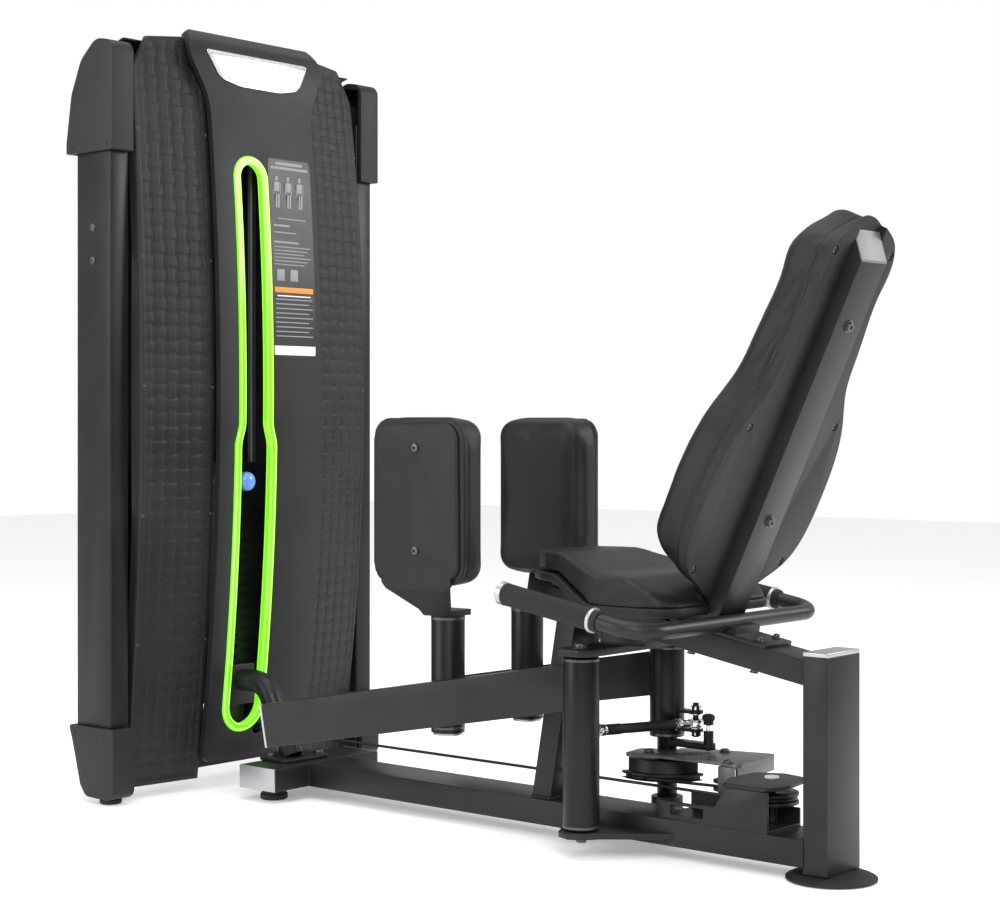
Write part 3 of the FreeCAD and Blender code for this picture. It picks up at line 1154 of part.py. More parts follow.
bolt_up(rear - 1407, -75, 83.0)
bolt_up(rear - 1356, 20, 83.0)
for x, y in ((-483, 72), (-368, 169), (-290, 64)):
    bolt_up(rear + x, y, guide_high, 8.0, 7.0)
for sign in (-1, 1):
    bolt_up(pivot_x, sign * pivot_y, val("head_plate_top"), 12.0, 10.0)
bolts.append(Part.makeCylinder(14, 12, Vector(pivot_x, -pivot_y, 26)))
bolts.append(Part.makeCylinder(14, 12, Vector(pivot_x, pivot_y, 22)))
for s in (198, 590):
    head = Part.makeCylinder(12, 7, Vector(0, 0, s), Vector(1, 0, 0))
    head.Placement = back_frame.multiply(head.Placement)
    bolts.append(head)
beam_frame = Placement(Vector(val(BEAM[0]), 0, val(BEAM[1])), Rotation(Vector(0, 1, 0), val("lean")))
for distance in (-40.0, -182.0):
    for y in (-30, 30):
        head = Part.makeCylinder(8, 8, Vector(distance, y, val("seat_plate_thick")))
        head.Placement = beam_frame.multiply(head.Placement)
        bolts.append(head)
        nut = Part.makeCylinder(8, 7, Vector(distance, y, -val("beam_thick") - 7))
        nut.Placement = beam_frame.multiply(nut.Placement)
        bolts.append(nut)
side_y = val("upright_in+upright_width")
for sign in (-1, 1):
    for z in (1172.0, 1243.0):
        bolts.append(Part.makeCylinder(9, 4, Vector(rear - 1619, sign * side_y, z), Vector(0, sign, 0)))
bolts.append(Part.makeCylinder(14, 4, Vector(cover_x, cover_y, 158.0)))
node(feature("FrameBolts", Part.makeCompound(bolts)), "frame_bolts")

# --- Checks and export ------------------------------------------------------------------
doc.recompute()
faults = []
for obj in doc.Objects:
    if "Invalid" in obj.State or "Error" in obj.State:
        faults.append("%s is %s" % (obj.Name, obj.State))
for obj in NODES:
    if obj.Shape.isNull() or not obj.Shape.isValid() or not obj.Shape.Solids:
        faults.append("%s has a bad shape" % obj.Label)
if faults:
    raise SystemExit("\n".join(faults))
os.makedirs("parts", exist_ok=True)
whole = FreeCAD.BoundBox()
for obj in NODES:
    whole.add(obj.Shape.BoundBox)
    obj.Shape.exportStep("parts/%s.step" % obj.Label)
print(len(NODES), "sub-parts,", "box", [round(v, 1) for v in (whole.XMin, whole.XMax, whole.YMin,
    whole.YMax, whole.ZMin, whole.ZMax)])
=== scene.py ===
import json
import logging
import math
from dataclasses import dataclass
from enum import Enum
from typing import Dict, Iterable, List, Optional, Sequence, Tuple

import bmesh
import bpy
import numpy as np
from mathutils import Matrix, Vector

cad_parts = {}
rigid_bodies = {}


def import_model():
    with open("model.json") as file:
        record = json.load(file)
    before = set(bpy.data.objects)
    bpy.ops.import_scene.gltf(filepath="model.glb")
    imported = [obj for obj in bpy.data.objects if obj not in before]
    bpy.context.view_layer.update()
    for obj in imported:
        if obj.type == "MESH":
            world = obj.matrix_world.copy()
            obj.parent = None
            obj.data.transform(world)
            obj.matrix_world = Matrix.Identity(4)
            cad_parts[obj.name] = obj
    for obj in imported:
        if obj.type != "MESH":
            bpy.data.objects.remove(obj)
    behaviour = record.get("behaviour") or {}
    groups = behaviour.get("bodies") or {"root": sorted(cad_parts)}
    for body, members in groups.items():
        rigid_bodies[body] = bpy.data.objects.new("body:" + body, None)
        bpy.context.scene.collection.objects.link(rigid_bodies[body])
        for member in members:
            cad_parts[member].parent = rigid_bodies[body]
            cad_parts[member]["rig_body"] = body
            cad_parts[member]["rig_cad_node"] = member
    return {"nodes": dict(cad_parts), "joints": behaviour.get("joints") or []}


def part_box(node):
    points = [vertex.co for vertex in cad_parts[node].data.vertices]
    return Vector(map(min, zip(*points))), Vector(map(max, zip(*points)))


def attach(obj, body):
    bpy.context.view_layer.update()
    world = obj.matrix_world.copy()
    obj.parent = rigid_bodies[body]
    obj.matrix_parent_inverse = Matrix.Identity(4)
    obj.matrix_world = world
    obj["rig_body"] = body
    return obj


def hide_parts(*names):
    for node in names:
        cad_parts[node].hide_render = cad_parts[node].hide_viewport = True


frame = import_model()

logging.basicConfig(level=logging.INFO, format="%(name)s: %(message)s")
log = logging.getLogger("abductor")

MM = 0.001
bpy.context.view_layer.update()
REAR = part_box("rear_post")[1].x
FRONT = REAR - 1484 * MM
STACK_Y = -47 * MM
BOW = 0.085
BOW_MIDDLE = 0.9
PANEL_HALF = 0.155
PANEL_SETBACK = 0.019
PANEL_SWEEP = math.radians(6.8)
ARM_PIVOT = 487
ARM_PIVOT_Y = 0.14
CRANK = 0.065
Point = Tuple[float, float, float]


def station(back: float) -> float:
    """X of a station given in millimetres forwards of the rear post's rear face.

    Args:
        back: distance forwards of the post, in millimetres.

    Returns:
        The X coordinate in metres.
    """
    return REAR - back * MM


def bow_x(z: float) -> float:
    """X of the tower's bowed front at a height in metres.

    Args:
        z: height above the floor.

    Returns:
        The X coordinate of the bowed surface.
    """
    return FRONT - BOW * (z - BOW_MIDDLE) ** 2


class Surface(Enum):
    """The families of surface that the machine shows."""

    POWDER = "powder coat"
    MOULDED = "grained moulding"
    VINYL = "upholstery vinyl"
    GLOSS = "gloss plastic"
    METAL = "bare or plated metal"
    FOAM = "foam rubber"
    CABLE = "coated cable"
    CAST = "painted casting"


@dataclass(frozen=True)
class Finish:
    """One procedural finish, read in Object coordinates.

    Args:
        name: the material's name.
        surface: the family that sets which node pattern is built.
        color: linear base colour.
        roughness: mean roughness.
        metallic: metallic share.
        grain: pattern cells per metre for the fine relief.
        relief: bump depth in metres.
        drift: how far the colour and roughness wander over the piece.
        coat: clear coat weight.
        painted_glow: emission strength of the base colour; painted light, making a part shine as if it were
            a lamp.
    """

    name: str
    surface: Surface
    color: Point
    roughness: float
    metallic: float = 0.0
    grain: float = 900.0
    relief: float = 0.00005
    drift: float = 0.12
    coat: float = 0.0
    painted_glow: float = 0.0

    def material(self) -> bpy.types.Material:
        """Build the material once and hand it back.

        Returns:
            The node material for this finish.
        """
        found = bpy.data.materials.get(self.name)
        if found is not None:
            return found
        mat = bpy.data.materials.new(self.name)
        mat.use_nodes = True
        tree = mat.node_tree
        shader = tree.nodes["Principled BSDF"]
        coords = tree.nodes.new("ShaderNodeTexCoord")
        cloud = self._noise(tree, coords, 7.0, 3.0)
        fine = self._noise(tree, coords, self.grain * 0.22, 5.0)
        self._color(tree, shader, cloud, fine)
        self._roughness(tree, shader, cloud, fine)
        self._relief(tree, shader, coords)
        shader.inputs["Metallic"].default_value = self.metallic
        if self.metallic < 0.5 and max(self.color) < 0.05:
            shader.inputs["Specular IOR Level"].default_value = 0.27
        shader.inputs["Coat Weight"].default_value = self.coat
        shader.inputs["Coat Roughness"].default_value = 0.12
        # Emission is painted light: the part is made to shine as though it were a lamp.
        if self.painted_glow > 0:
            shader.inputs["Emission Strength"].default_value = self.painted_glow
            shader.inputs["Emission Color"].default_value = (*self.color, 1.0)
        return mat

    def _noise(self, tree: bpy.types.NodeTree, coords: bpy.types.Node, scale: float,
        detail: float) -> bpy.types.Node:
        """A noise texture read in Object coordinates."""
        noise = tree.nodes.new("ShaderNodeTexNoise")
        noise.inputs["Scale"].default_value = scale
        noise.inputs["Detail"].default_value = detail
        tree.links.new(coords.outputs["Object"], noise.inputs["Vector"])
        return noise

    def _color(self, tree: bpy.types.NodeTree, shader: bpy.types.Node, cloud: bpy.types.Node,
        fine: bpy.types.Node) -> None:
        """Colour: a slow drift over the piece, speckled by the fine noise."""
        ramp = tree.nodes.new("ShaderNodeValToRGB")
        low = tuple(c * (1 - self.drift) for c in self.color)
        high = tuple(min(1.0, c * (1 + self.drift) + 0.004) for c in self.color)
        ramp.color_ramp.elements[0].position = 0.3
        ramp.color_ramp.elements[0].color = (*low, 1)
        ramp.color_ramp.elements[1].position = 0.72
        ramp.color_ramp.elements[1].color = (*high, 1)
        tree.links.new(cloud.outputs["Fac"], ramp.inputs["Fac"])
        mix = tree.nodes.new("ShaderNodeMix")
        mix.data_type = "RGBA"
        mix.blend_type = "OVERLAY"
        mix.inputs["Factor"].default_value = 0.1
        tree.links.new(ramp.outputs["Color"], mix.inputs["A"])
        tree.links.new(fine.outputs["Color"], mix.inputs["B"])
        edge = tree.nodes.new("ShaderNodeNewGeometry")
        wear = tree.nodes.new("ShaderNodeMapRange")
        wear.inputs["From Min"].default_value = 0.56
        wear.inputs["From Max"].default_value = 0.72
        wear.inputs["To Max"].default_value = 0.35
        tree.links.new(edge.outputs["Pointiness"], wear.inputs["Value"])
        rub = tree.nodes.new("ShaderNodeMix")
        rub.data_type = "RGBA"
        tree.links.new(wear.outputs["Result"], rub.inputs["Factor"])
        tree.links.new(mix.outputs["Result"], rub.inputs["A"])
        rub.inputs["B"].default_value = (*[min(1.0, c * 2.2 + 0.02) for c in self.color], 1)
        tree.links.new(rub.outputs["Result"], shader.inputs["Base Color"])

    def _roughness(self, tree: bpy.types.NodeTree, shader: bpy.types.Node, cloud: bpy.types.Node,
        fine: bpy.types.Node) -> None:
        """Roughness: the same drift, with a little of the fine noise."""
        add = tree.nodes.new("ShaderNodeMath")
        add.operation = "MULTIPLY_ADD"
        add.inputs[1].default_value = 0.3
        tree.links.new(fine.outputs["Fac"], add.inputs[0])
        tree.links.new(cloud.outputs["Fac"], add.inputs[2])
        span = tree.nodes.new("ShaderNodeMapRange")
        span.inputs["From Min"].default_value = 0.35
        span.inputs["From Max"].default_value = 0.95
        span.inputs["To Min"].default_value = max(0.03, self.roughness - 0.07)
        span.inputs["To Max"].default_value = min(1.0, self.roughness + 0.07)
        tree.links.new(add.outputs["Value"], span.inputs["Value"])
        tree.links.new(span.outputs["Result"], shader.inputs["Roughness"])

    def _relief(self, tree: bpy.types.NodeTree, shader: bpy.types.Node, coords: bpy.types.Node) -> None:
        """Relief: leather cells, brushed lines, foam pores or orange peel."""
        bump = tree.nodes.new("ShaderNodeBump")
        bump.inputs["Distance"].default_value = self.relief
        bump.inputs["Strength"].default_value = 0.9
        if self.surface in (Surface.VINYL, Surface.MOULDED):
            cells = tree.nodes.new("ShaderNodeTexVoronoi")
            cells.feature = "DISTANCE_TO_EDGE"
            cells.inputs["Scale"].default_value = self.grain
            warp = self._noise(tree, coords, self.grain * 0.5, 2.0)
            add = tree.nodes.new("ShaderNodeVectorMath")
            add.operation = "MULTIPLY_ADD"
            add.inputs[1].default_value = (0.0012, 0.0012, 0.0012)
            tree.links.new(warp.outputs["Color"], add.inputs[0])
            tree.links.new(coords.outputs["Object"], add.inputs[2])
            tree.links.new(add.outputs["Vector"], cells.inputs["Vector"])
            ramp = tree.nodes.new("ShaderNodeMapRange")
            ramp.inputs["From Max"].default_value = 0.35
            tree.links.new(cells.outputs["Distance"], ramp.inputs["Value"])
            tree.links.new(ramp.outputs["Result"], bump.inputs["Height"])
        elif self.surface is Surface.METAL:
            stretch = tree.nodes.new("ShaderNodeMapping")
            stretch.inputs["Scale"].default_value = (1.0, 30.0, 1.0)
            lines = self._noise(tree, coords, self.grain, 2.0)
            tree.links.new(coords.outputs["Object"], stretch.inputs["Vector"])
            tree.links.new(stretch.outputs["Vector"], lines.inputs["Vector"])
            tree.links.new(lines.outputs["Fac"], bump.inputs["Height"])
        else:
            peel = self._noise(tree, coords, self.grain, 3.0)
            tree.links.new(peel.outputs["Fac"], bump.inputs["Height"])
        tree.links.new(bump.outputs["Normal"], shader.inputs["Normal"])


POWDER = Finish("satin_powder_coat", Surface.POWDER, (0.0105, 0.0105, 0.0112), 0.36, 0.25, 1500, 0.00006)
FRAME_COAT = Finish("frame_powder_coat", Surface.POWDER, (0.0185, 0.0185, 0.0198), 0.38, 0.3, 1500, 0.00006)
MOULDED = Finish("grained_moulding", Surface.MOULDED, (0.0125, 0.0127, 0.0134), 0.46, 0.0, 900, 0.00007)
SHELL = Finish("shell_moulding", Surface.MOULDED, (0.0085, 0.0085, 0.009), 0.46, 0.0, 800, 0.00009)
WEAVE = Finish("woven_moulding", Surface.MOULDED, (0.0125, 0.0128, 0.0135), 0.44, 0.0, 1100, 0.00006)
VINYL = Finish("black_vinyl", Surface.VINYL, (0.0068, 0.0068, 0.0072), 0.46, 0.0, 620, 0.00011, 0.15)
# The neon trim's emission is painted light: the green plastic is made to shine as if it were a lamp.
NEON = Finish("neon_green", Surface.GLOSS, (0.13, 0.86, 0.002), 0.22, 0.0, 400, 0.00002, 0.06, 0.6, 0.3)
NEON_LIP = Finish("neon_lip", Surface.GLOSS, (0.42, 1.0, 0.06), 0.15, 0.0, 400, 0.00002, 0.05, 0.8, 0.5)
SILVER = Finish("silver_paint", Surface.POWDER, (0.44, 0.45, 0.47), 0.36, 0.75, 1600, 0.00004, 0.08)
BADGE = Finish("brushed_badge", Surface.METAL, (0.78, 0.79, 0.81), 0.28, 0.8, 500, 0.00002, 0.06)
BADGE_RIM = Finish("badge_rim", Surface.GLOSS, (0.5, 0.51, 0.53), 0.25, 0.85, 500, 0.00002, 0.06)
CHROME = Finish("plated_chrome", Surface.METAL, (0.62, 0.63, 0.65), 0.17, 1.0, 300, 0.000012, 0.05)
DARK_STEEL = Finish("dark_steel", Surface.METAL, (0.09, 0.09, 0.095), 0.34, 0.8, 300, 0.00002, 0.1)
PLATE_GREY = Finish("grey_plate", Surface.POWDER, (0.10, 0.10, 0.106), 0.36, 0.45, 1500, 0.00005)
CAP_GREY = Finish("light_grey_cap", Surface.MOULDED, (0.15, 0.15, 0.155), 0.45, 0.0, 900, 0.00006)
RUBBER = Finish("foot_rubber", Surface.FOAM, (0.013, 0.013, 0.013), 0.62, 0.0, 700, 0.00008)
FOAM = Finish("grip_foam", Surface.FOAM, (0.011, 0.011, 0.0115), 0.66, 0.0, 900, 0.00018, 0.2)
CAST = Finish("painted_plates", Surface.CAST, (0.004, 0.004, 0.0045), 0.42, 0.3, 500, 0.00012)
CABLE = Finish("coated_cable", Surface.CABLE, (0.012, 0.012, 0.012), 0.35, 0.0, 900, 0.00003)
BLUE = Finish("blue_knob", Surface.GLOSS, (0.13, 0.27, 0.85), 0.28, 0.0, 500, 0.00002, 0.06, 0.5)
NYLON = Finish("pulley_nylon", Surface.GLOSS, (0.018, 0.018, 0.019), 0.4, 0.0, 700, 0.00003)
DISC_WHITE = Finish("pale_disc", Surface.GLOSS, (0.66, 0.65, 0.62), 0.4, 0.0, 500, 0.00002, 0.05)
PLACARD = Finish("placard_black", Surface.GLOSS, (0.013, 0.013, 0.014), 0.3, 0.0, 400, 0.00001, 0.08)
MARKS = Finish("placard_marks", Surface.GLOSS, (0.24, 0.24, 0.245), 0.5, 0.0, 400, 0.00001, 0.1)
MARKS_WHITE = Finish("placard_white", Surface.GLOSS, (0.85, 0.85, 0.85), 0.5, 0.0, 400, 0.00001, 0.05)
MARKS_ORANGE = Finish("placard_orange", Surface.GLOSS, (0.85, 0.24, 0.03), 0.5, 0.0, 400, 0.00001, 0.08)


# --- Mesh helpers -----------------------------------------------------------------------


def only(obj: bpy.types.Object) -> bpy.types.Object:
    """Make an object the one selected and active object.

    Args:
        obj: the object to work on.

    Returns:
        The same object.
    """
    bpy.ops.object.select_all(action="DESELECT")
    obj.select_set(True)
    bpy.context.view_layer.objects.active = obj
    return obj


def settle(obj: bpy.types.Object) -> bpy.types.Object:
    """Put an object's place into its mesh.

    Args:
        obj: the object to settle.

    Returns:
        The same object, at the origin, unturned and unscaled.
    """
    only(obj)
    bpy.ops.object.transform_apply(location=True, rotation=True, scale=True)
    return obj


def bevel(obj: bpy.types.Object, width: float, segments: int = 2, angle: float = 35.0) -> bpy.types.Object:
    """Round an object's sharp edges and apply the rounding.

    Args:
        obj: the object to round.
        width: bevel width in metres.
        segments: rows in the round.
        angle: edges sharper than this, in degrees, are rounded.

    Returns:
        The same object.
    """
    only(obj)
    mod = obj.modifiers.new("Round", "BEVEL")
    mod.width = width
    mod.segments = segments
    mod.limit_method = "ANGLE"
    mod.angle_limit = math.radians(angle)
    mod.use_clamp_overlap = True
    mod.harden_normals = False
    bpy.ops.object.modifier_apply(modifier=mod.name)
    return obj


def smooth(obj: bpy.types.Object, angle: float = 38.0) -> bpy.types.Object:
    """Shade smooth across edges flatter than an angle in degrees."""
    only(obj)
    bpy.ops.object.shade_smooth_by_angle(angle=math.radians(angle))
    return obj


def dress(obj: bpy.types.Object, finish: Finish, body: str,
    stands_for: Sequence[str] = ()) -> bpy.types.Object:
    """Give a finished piece its material and its body.

    Args:
        obj: the piece, already in place.
        finish: its finish.
        body: the CAD body that it rides on.
        stands_for: CAD nodes that it replaces.

    Returns:
        The same object.
    """
    obj.data.materials.clear()
    obj.data.materials.append(finish.material())
    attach(obj, body)
    if stands_for:
        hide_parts(*stands_for)
    return obj


def cad_copy(node: str, name: str) -> bpy.types.Object:
    """A merged copy of a CAD node's mesh, its flat faces made whole.

    Args:
        node: the CAD node.
        name: the new piece's name.

    Returns:
        The new object.
    """
    source = frame["nodes"][node]
    mesh = source.data.copy()
    mesh.name = name
    mesh.materials.clear()
    work = bmesh.new()
    work.from_mesh(mesh)
    bmesh.ops.remove_doubles(work, verts=work.verts, dist=2e-6)
    bmesh.ops.dissolve_limit(work, angle_limit=math.radians(0.25), verts=work.verts, edges=work.edges)
    bmesh.ops.recalc_face_normals(work, faces=work.faces)
    work.to_mesh(mesh)
    work.free()
    piece = bpy.data.objects.new(name, mesh)
    bpy.context.scene.collection.objects.link(piece)
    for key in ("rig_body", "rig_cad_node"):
        if key in piece:
            del piece[key]
    return piece


def carried(node: str, finish: Finish, body: str, width: float, segments: int = 2,
    angle: float = 35.0) -> bpy.types.Object:
    """Stand a rounded copy in for a CAD node whose edges are too sharp.

    Args:
        node: the CAD node.
        finish: the piece's finish.
        body: the body it rides on.
        width: rounding in metres.
        segments: rows in the round.
        angle: edges sharper than this are rounded.

    Returns:
        The new piece.
    """
    piece = cad_copy(node, node + "_piece")
    bevel(piece, width, segments, angle)
    smooth(piece)
    return dress(piece, finish, body, (node,))


def lathe(name: str, profile: Sequence[Tuple[float, float]], base: Vector, axis: Vector,
    steps: int = 48) -> bpy.types.Object:
    """Spin a profile about an axis into a closed piece.

    Args:
        name: the piece's name.
        profile: (radius, height) pairs from the bottom up.
        base: where the profile's height is zero.
        axis: the direction of the heights.
        steps: faces round the piece.

    Returns:
        The new object.
    """
    rows = [(r, h) for r, h in profile]
    verts: List[Point] = []
    faces: List[Tuple[int, ...]] = []
    for r, h in rows:
        for i in range(steps):
            a = 2 * math.pi * i / steps
            verts.append((r * math.cos(a), r * math.sin(a), h))
    for j in range(len(rows) - 1):
        for i in range(steps):
            k = (i + 1) % steps
            faces.append((j * steps + i, j * steps + k, (j + 1) * steps + k, (j + 1) * steps + i))
    faces.append(tuple(reversed(range(steps))))
    faces.append(tuple((len(rows) - 1) * steps + i for i in range(steps)))
    mesh = bpy.data.meshes.new(name)
    mesh.from_pydata(verts, [], faces)
    turn = Vector((0, 0, 1)).rotation_difference(axis).to_matrix().to_4x4()
    mesh.transform(Matrix.Translation(base) @ turn)
    work = bmesh.new()
    work.from_mesh(mesh)
    bmesh.ops.remove_doubles(work, verts=work.verts, dist=1e-6)
    bmesh.ops.recalc_face_normals(work, faces=work.faces)
    work.to_mesh(mesh)
    work.free()
    obj = bpy.data.objects.new(name, mesh)
    bpy.context.scene.collection.objects.link(obj)
    return smooth(obj)


def merge(name: str, parts: Iterable[bpy.types.Object]) -> bpy.types.Object:
    """Join separate meshes into one named piece.

    Args:
        name: the piece's name.
        parts: the objects to join.

    Returns:
        The joined object.
    """
    parts = list(parts)
    only(parts[0])
    for part in parts:
        part.select_set(True)
    bpy.ops.object.join()
    joined = bpy.context.view_layer.objects.active
    joined.name = name
    joined.data.name = name
    return joined


def slab(name: str, low: Point, high: Point, width: float = 0.001) -> bpy.types.Object:
    """A rounded block between two corners."""
    center = [(a + b) / 2 for a, b in zip(low, high)]
    bpy.ops.object.select_all(action="DESELECT")
    bpy.ops.mesh.primitive_cube_add(size=1, location=center)
    obj = bpy.context.active_object
    obj.name = name
    obj.scale = [b - a for a, b in zip(low, high)]
    settle(obj)
    return smooth(bevel(obj, width, 2))


def bead(name: str, path: Sequence[Point], radius: float = 0.0028) -> bpy.types.Object:
    """A weld bead: a rippled run of metal along a path.

    Args:
        name: the piece's name.
        path: the corners of the run, in metres.
        radius: mean radius of the bead.

    Returns:
        The new object.
    """
    spots: List[Vector] = []
    for a, b in zip(path, path[1:]):
        start, end = Vector(a), Vector(b)
        count = max(2, int((end - start).length / 0.0016))
        spots.extend(start.lerp(end, i / count) for i in range(count))
    spots.append(Vector(path[-1]))
    ring = 8
    verts: List[Vector] = []
    for i, spot in enumerate(spots):
        forward = (spots[min(i + 1, len(spots) - 1)] - spots[max(i - 1, 0)]).normalized()
        side = forward.orthogonal().normalized()
        up = forward.cross(side)
        swell = radius * (1.0 + 0.16 * math.sin(i * 1.3))
        for k in range(ring):
            a = 2 * math.pi * k / ring
            verts.append(spot + (side * math.cos(a) + up * math.sin(a)) * swell)
    faces = [(i * ring + k, i * ring + (k + 1) % ring, (i + 1) * ring + (k + 1) % ring, (i + 1) * ring + k)
             for i in range(len(spots) - 1) for k in range(ring)]
    faces.append(tuple(range(ring)))
    faces.append(tuple(reversed(range(len(verts) - ring, len(verts)))))
    mesh = bpy.data.meshes.new(name)
    mesh.from_pydata(verts, [], faces)
    work = bmesh.new()
    work.from_mesh(mesh)
    bmesh.ops.recalc_face_normals(work, faces=work.faces)
    work.to_mesh(mesh)
    work.free()
    obj = bpy.data.objects.new(name, mesh)
    bpy.context.scene.collection.objects.link(obj)
    return smooth(obj, 60)


class BoltMaker:
    """Button-head socket screws, modelled once and copied.

    The pattern screw stands on the floor of its own frame: radius 1, height 0.7.
    """

    def __init__(self) -> None:
        """Model the pattern screw with its hexagon socket."""
        bpy.ops.object.select_all(action="DESELECT")
        bpy.ops.mesh.primitive_cylinder_add(vertices=32, radius=1.0, depth=0.7, location=(0, 0, 0.35))
        head = bpy.context.active_object
        head.name = "screw_pattern"
        settle(head)
        bpy.ops.object.mode_set(mode="EDIT")
        work = bmesh.from_edit_mesh(head.data)
        for face in work.faces:
            face.select_set(face.normal.z > 0.9)
        bmesh.update_edit_mesh(head.data)
        bpy.ops.mesh.bevel(offset=0.32, segments=3, affect="EDGES")
        bpy.ops.object.mode_set(mode="OBJECT")
        bpy.ops.mesh.primitive_cylinder_add(vertices=6, radius=0.46, depth=0.8, location=(0, 0, 0.72))
        socket = settle(bpy.context.active_object)
        only(head)
        mod = head.modifiers.new("Socket", "BOOLEAN")
        mod.operation = "DIFFERENCE"
        mod.object = socket
        mod.solver = "EXACT"
        bpy.ops.object.modifier_apply(modifier=mod.name)
        bpy.data.objects.remove(socket)
        smooth(head)
        self.mesh = head.data.copy()
        bpy.data.objects.remove(head)

    def at(self, name: str, base: Vector, axis: Vector, radius: float,
        height: Optional[float] = None) -> bpy.types.Object:
        """A copy of the screw.

        Args:
            name: the copy's name.
            base: the centre of its seat.
            axis: the way its head points.
            radius: head radius in metres.
            height: head height in metres, if not in proportion.

        Returns:
            The new object.
        """
        mesh = self.mesh.copy()
        tall = (height / 0.7) if height else radius
        scale = Matrix.Diagonal((radius, radius, tall, 1))
        turn = Vector((0, 0, 1)).rotation_difference(axis).to_matrix().to_4x4()
        mesh.transform(Matrix.Translation(base) @ turn @ scale)
        obj = bpy.data.objects.new(name, mesh)
        bpy.context.scene.collection.objects.link(obj)
        return obj


def islands(node: str) -> List[np.ndarray]:
    """The separate solids of a CAD node, as arrays of corner points.

    Args:
        node: the CAD node.

    Returns:
        One array of points for each solid.
    """
    work = bmesh.new()
    work.from_mesh(frame["nodes"][node].data)
    bmesh.ops.remove_doubles(work, verts=work.verts, dist=2e-6)
    seen: set = set()
    found: List[np.ndarray] = []
    for vert in work.verts:
        if vert in seen:
            continue
        stack, group = [vert], []
        seen.add(vert)
        while stack:
            here = stack.pop()
            group.append(tuple(here.co))
            for edge in here.link_edges:
                other = edge.other_vert(here)
                if other not in seen:
                    seen.add(other)
                    stack.append(other)
        found.append(np.array(group))
    work.free()
    return found


# --- Padded pieces ----------------------------------------------------------------------


def flat_back(co: np.ndarray, origin: Vector, normal: Vector, within: float) -> np.ndarray:
    """Which points lie on a cushion's backing plane."""
    away = (co - np.array(origin)) @ np.array(normal)
    return np.abs(away) < within


def stuffed(node: str, name: str, body: str, shrink: float, cap: float, origin: Vector, normal: Vector,
    seams: Sequence[float],
            voxel: float = 0.006, pressure: float = 4.0) -> bpy.types.Object:
    """A vinyl cushion puffed by cloth simulation from a CAD solid's shape.

    Args:
        node: the CAD cushion.
        name: the piece's name.
        body: the body it rides on.
        shrink: how far the start shape is drawn in, in metres.
        cap: how far a point may move.
        origin: a point on the backing plane.
        normal: the backing plane's normal, into the cushion.
        seams: distances of sewn lines from the backing plane.
        voxel: remesh size.
        pressure: cloth pressure.

    Returns:
        The cushion.
    """
    piece = cad_copy(node, name)
    only(piece)
    mod = piece.modifiers.new("Voxels", "REMESH")
    mod.mode = "VOXEL"
    mod.voxel_size = voxel
    bpy.ops.object.modifier_apply(modifier=mod.name)
    mesh = piece.data
    count = len(mesh.vertices)
    co = np.zeros(count * 3)
    mesh.vertices.foreach_get("co", co)
    co = co.reshape(-1, 3)
    normals = np.zeros(count * 3)
    mesh.vertex_normals.foreach_get("vector", normals)
    normals = normals.reshape(-1, 3)
    held = flat_back(co, origin, normal, voxel * 0.8)
    inset = np.where(held, 0.0, shrink)
    co = co - normals * inset[:, None]
    mesh.vertices.foreach_set("co", co.ravel())
    mesh.update()
    relax(piece, 4, held)
    mesh.vertices.foreach_get("co", co_flat := np.zeros(count * 3))
    co = co_flat.reshape(-1, 3)
    pins = piece.vertex_groups.new(name="backing")
    pins.add([int(i) for i in np.nonzero(held)[0]], 1.0, "REPLACE")
    cloth = piece.modifiers.new("Cloth", "CLOTH")
    cloth.settings.use_pressure = True
    cloth.settings.uniform_pressure_force = pressure
    cloth.settings.effector_weights.gravity = 0
    cloth.settings.vertex_group_mass = "backing"
    cloth.settings.quality = 4
    cloth.settings.tension_stiffness = 18
    cloth.settings.compression_stiffness = 18
    cloth.settings.bending_stiffness = 4.0
    scene = bpy.context.scene
    for step in range(1, 21):
        scene.frame_set(step)
    puffed = piece.evaluated_get(bpy.context.evaluated_depsgraph_get())
    moved = np.zeros(count * 3)
    puffed.data.vertices.foreach_get("co", moved)
    shift = moved.reshape(-1, 3) - co
    reach = np.linalg.norm(shift, axis=1)
    scale = np.where(reach > cap, cap / np.maximum(reach, 1e-9), 1.0)
    piece.modifiers.remove(cloth)
    scene.frame_set(1)
    co = co + shift * scale[:, None]
    mesh.vertices.foreach_set("co", co.ravel())
    mesh.update()
    piece.vertex_groups.clear()
    log.info("%s puffed by up to %.1f mm", name, float(np.minimum(reach, cap).max()) * 1000)
    relax(piece, 3, held)
    only(piece)
    sub = piece.modifiers.new("Finer", "SUBSURF")
    sub.levels = sub.render_levels = 1
    bpy.ops.object.modifier_apply(modifier=sub.name)
    for distance in seams:
        sewn_line(piece, origin, normal, distance)
    for poly in piece.data.polygons:
        poly.use_smooth = True
    return dress(piece, VINYL, body, (node,))


def relax(piece: bpy.types.Object, rounds: int, held: np.ndarray) -> None:
    """Even out a mesh, leaving the held points where they are."""
    mesh = piece.data
    pairs = np.zeros(len(mesh.edges) * 2, np.int64)
    mesh.edges.foreach_get("vertices", pairs)
    pairs = pairs.reshape(-1, 2)
    co = np.zeros(len(mesh.vertices) * 3)
    mesh.vertices.foreach_get("co", co)
    co = co.reshape(-1, 3)
    for _ in range(rounds):
        total = np.zeros_like(co)
        count = np.zeros(len(co))
        for a, b in ((0, 1), (1, 0)):
            np.add.at(total, pairs[:, a], co[pairs[:, b]])
            np.add.at(count, pairs[:, a], 1)
        mean = total / np.maximum(count, 1)[:, None]
        co = np.where(held[:, None], co, co * 0.4 + mean * 0.6)
    mesh.vertices.foreach_set("co", co.ravel())
    mesh.update()


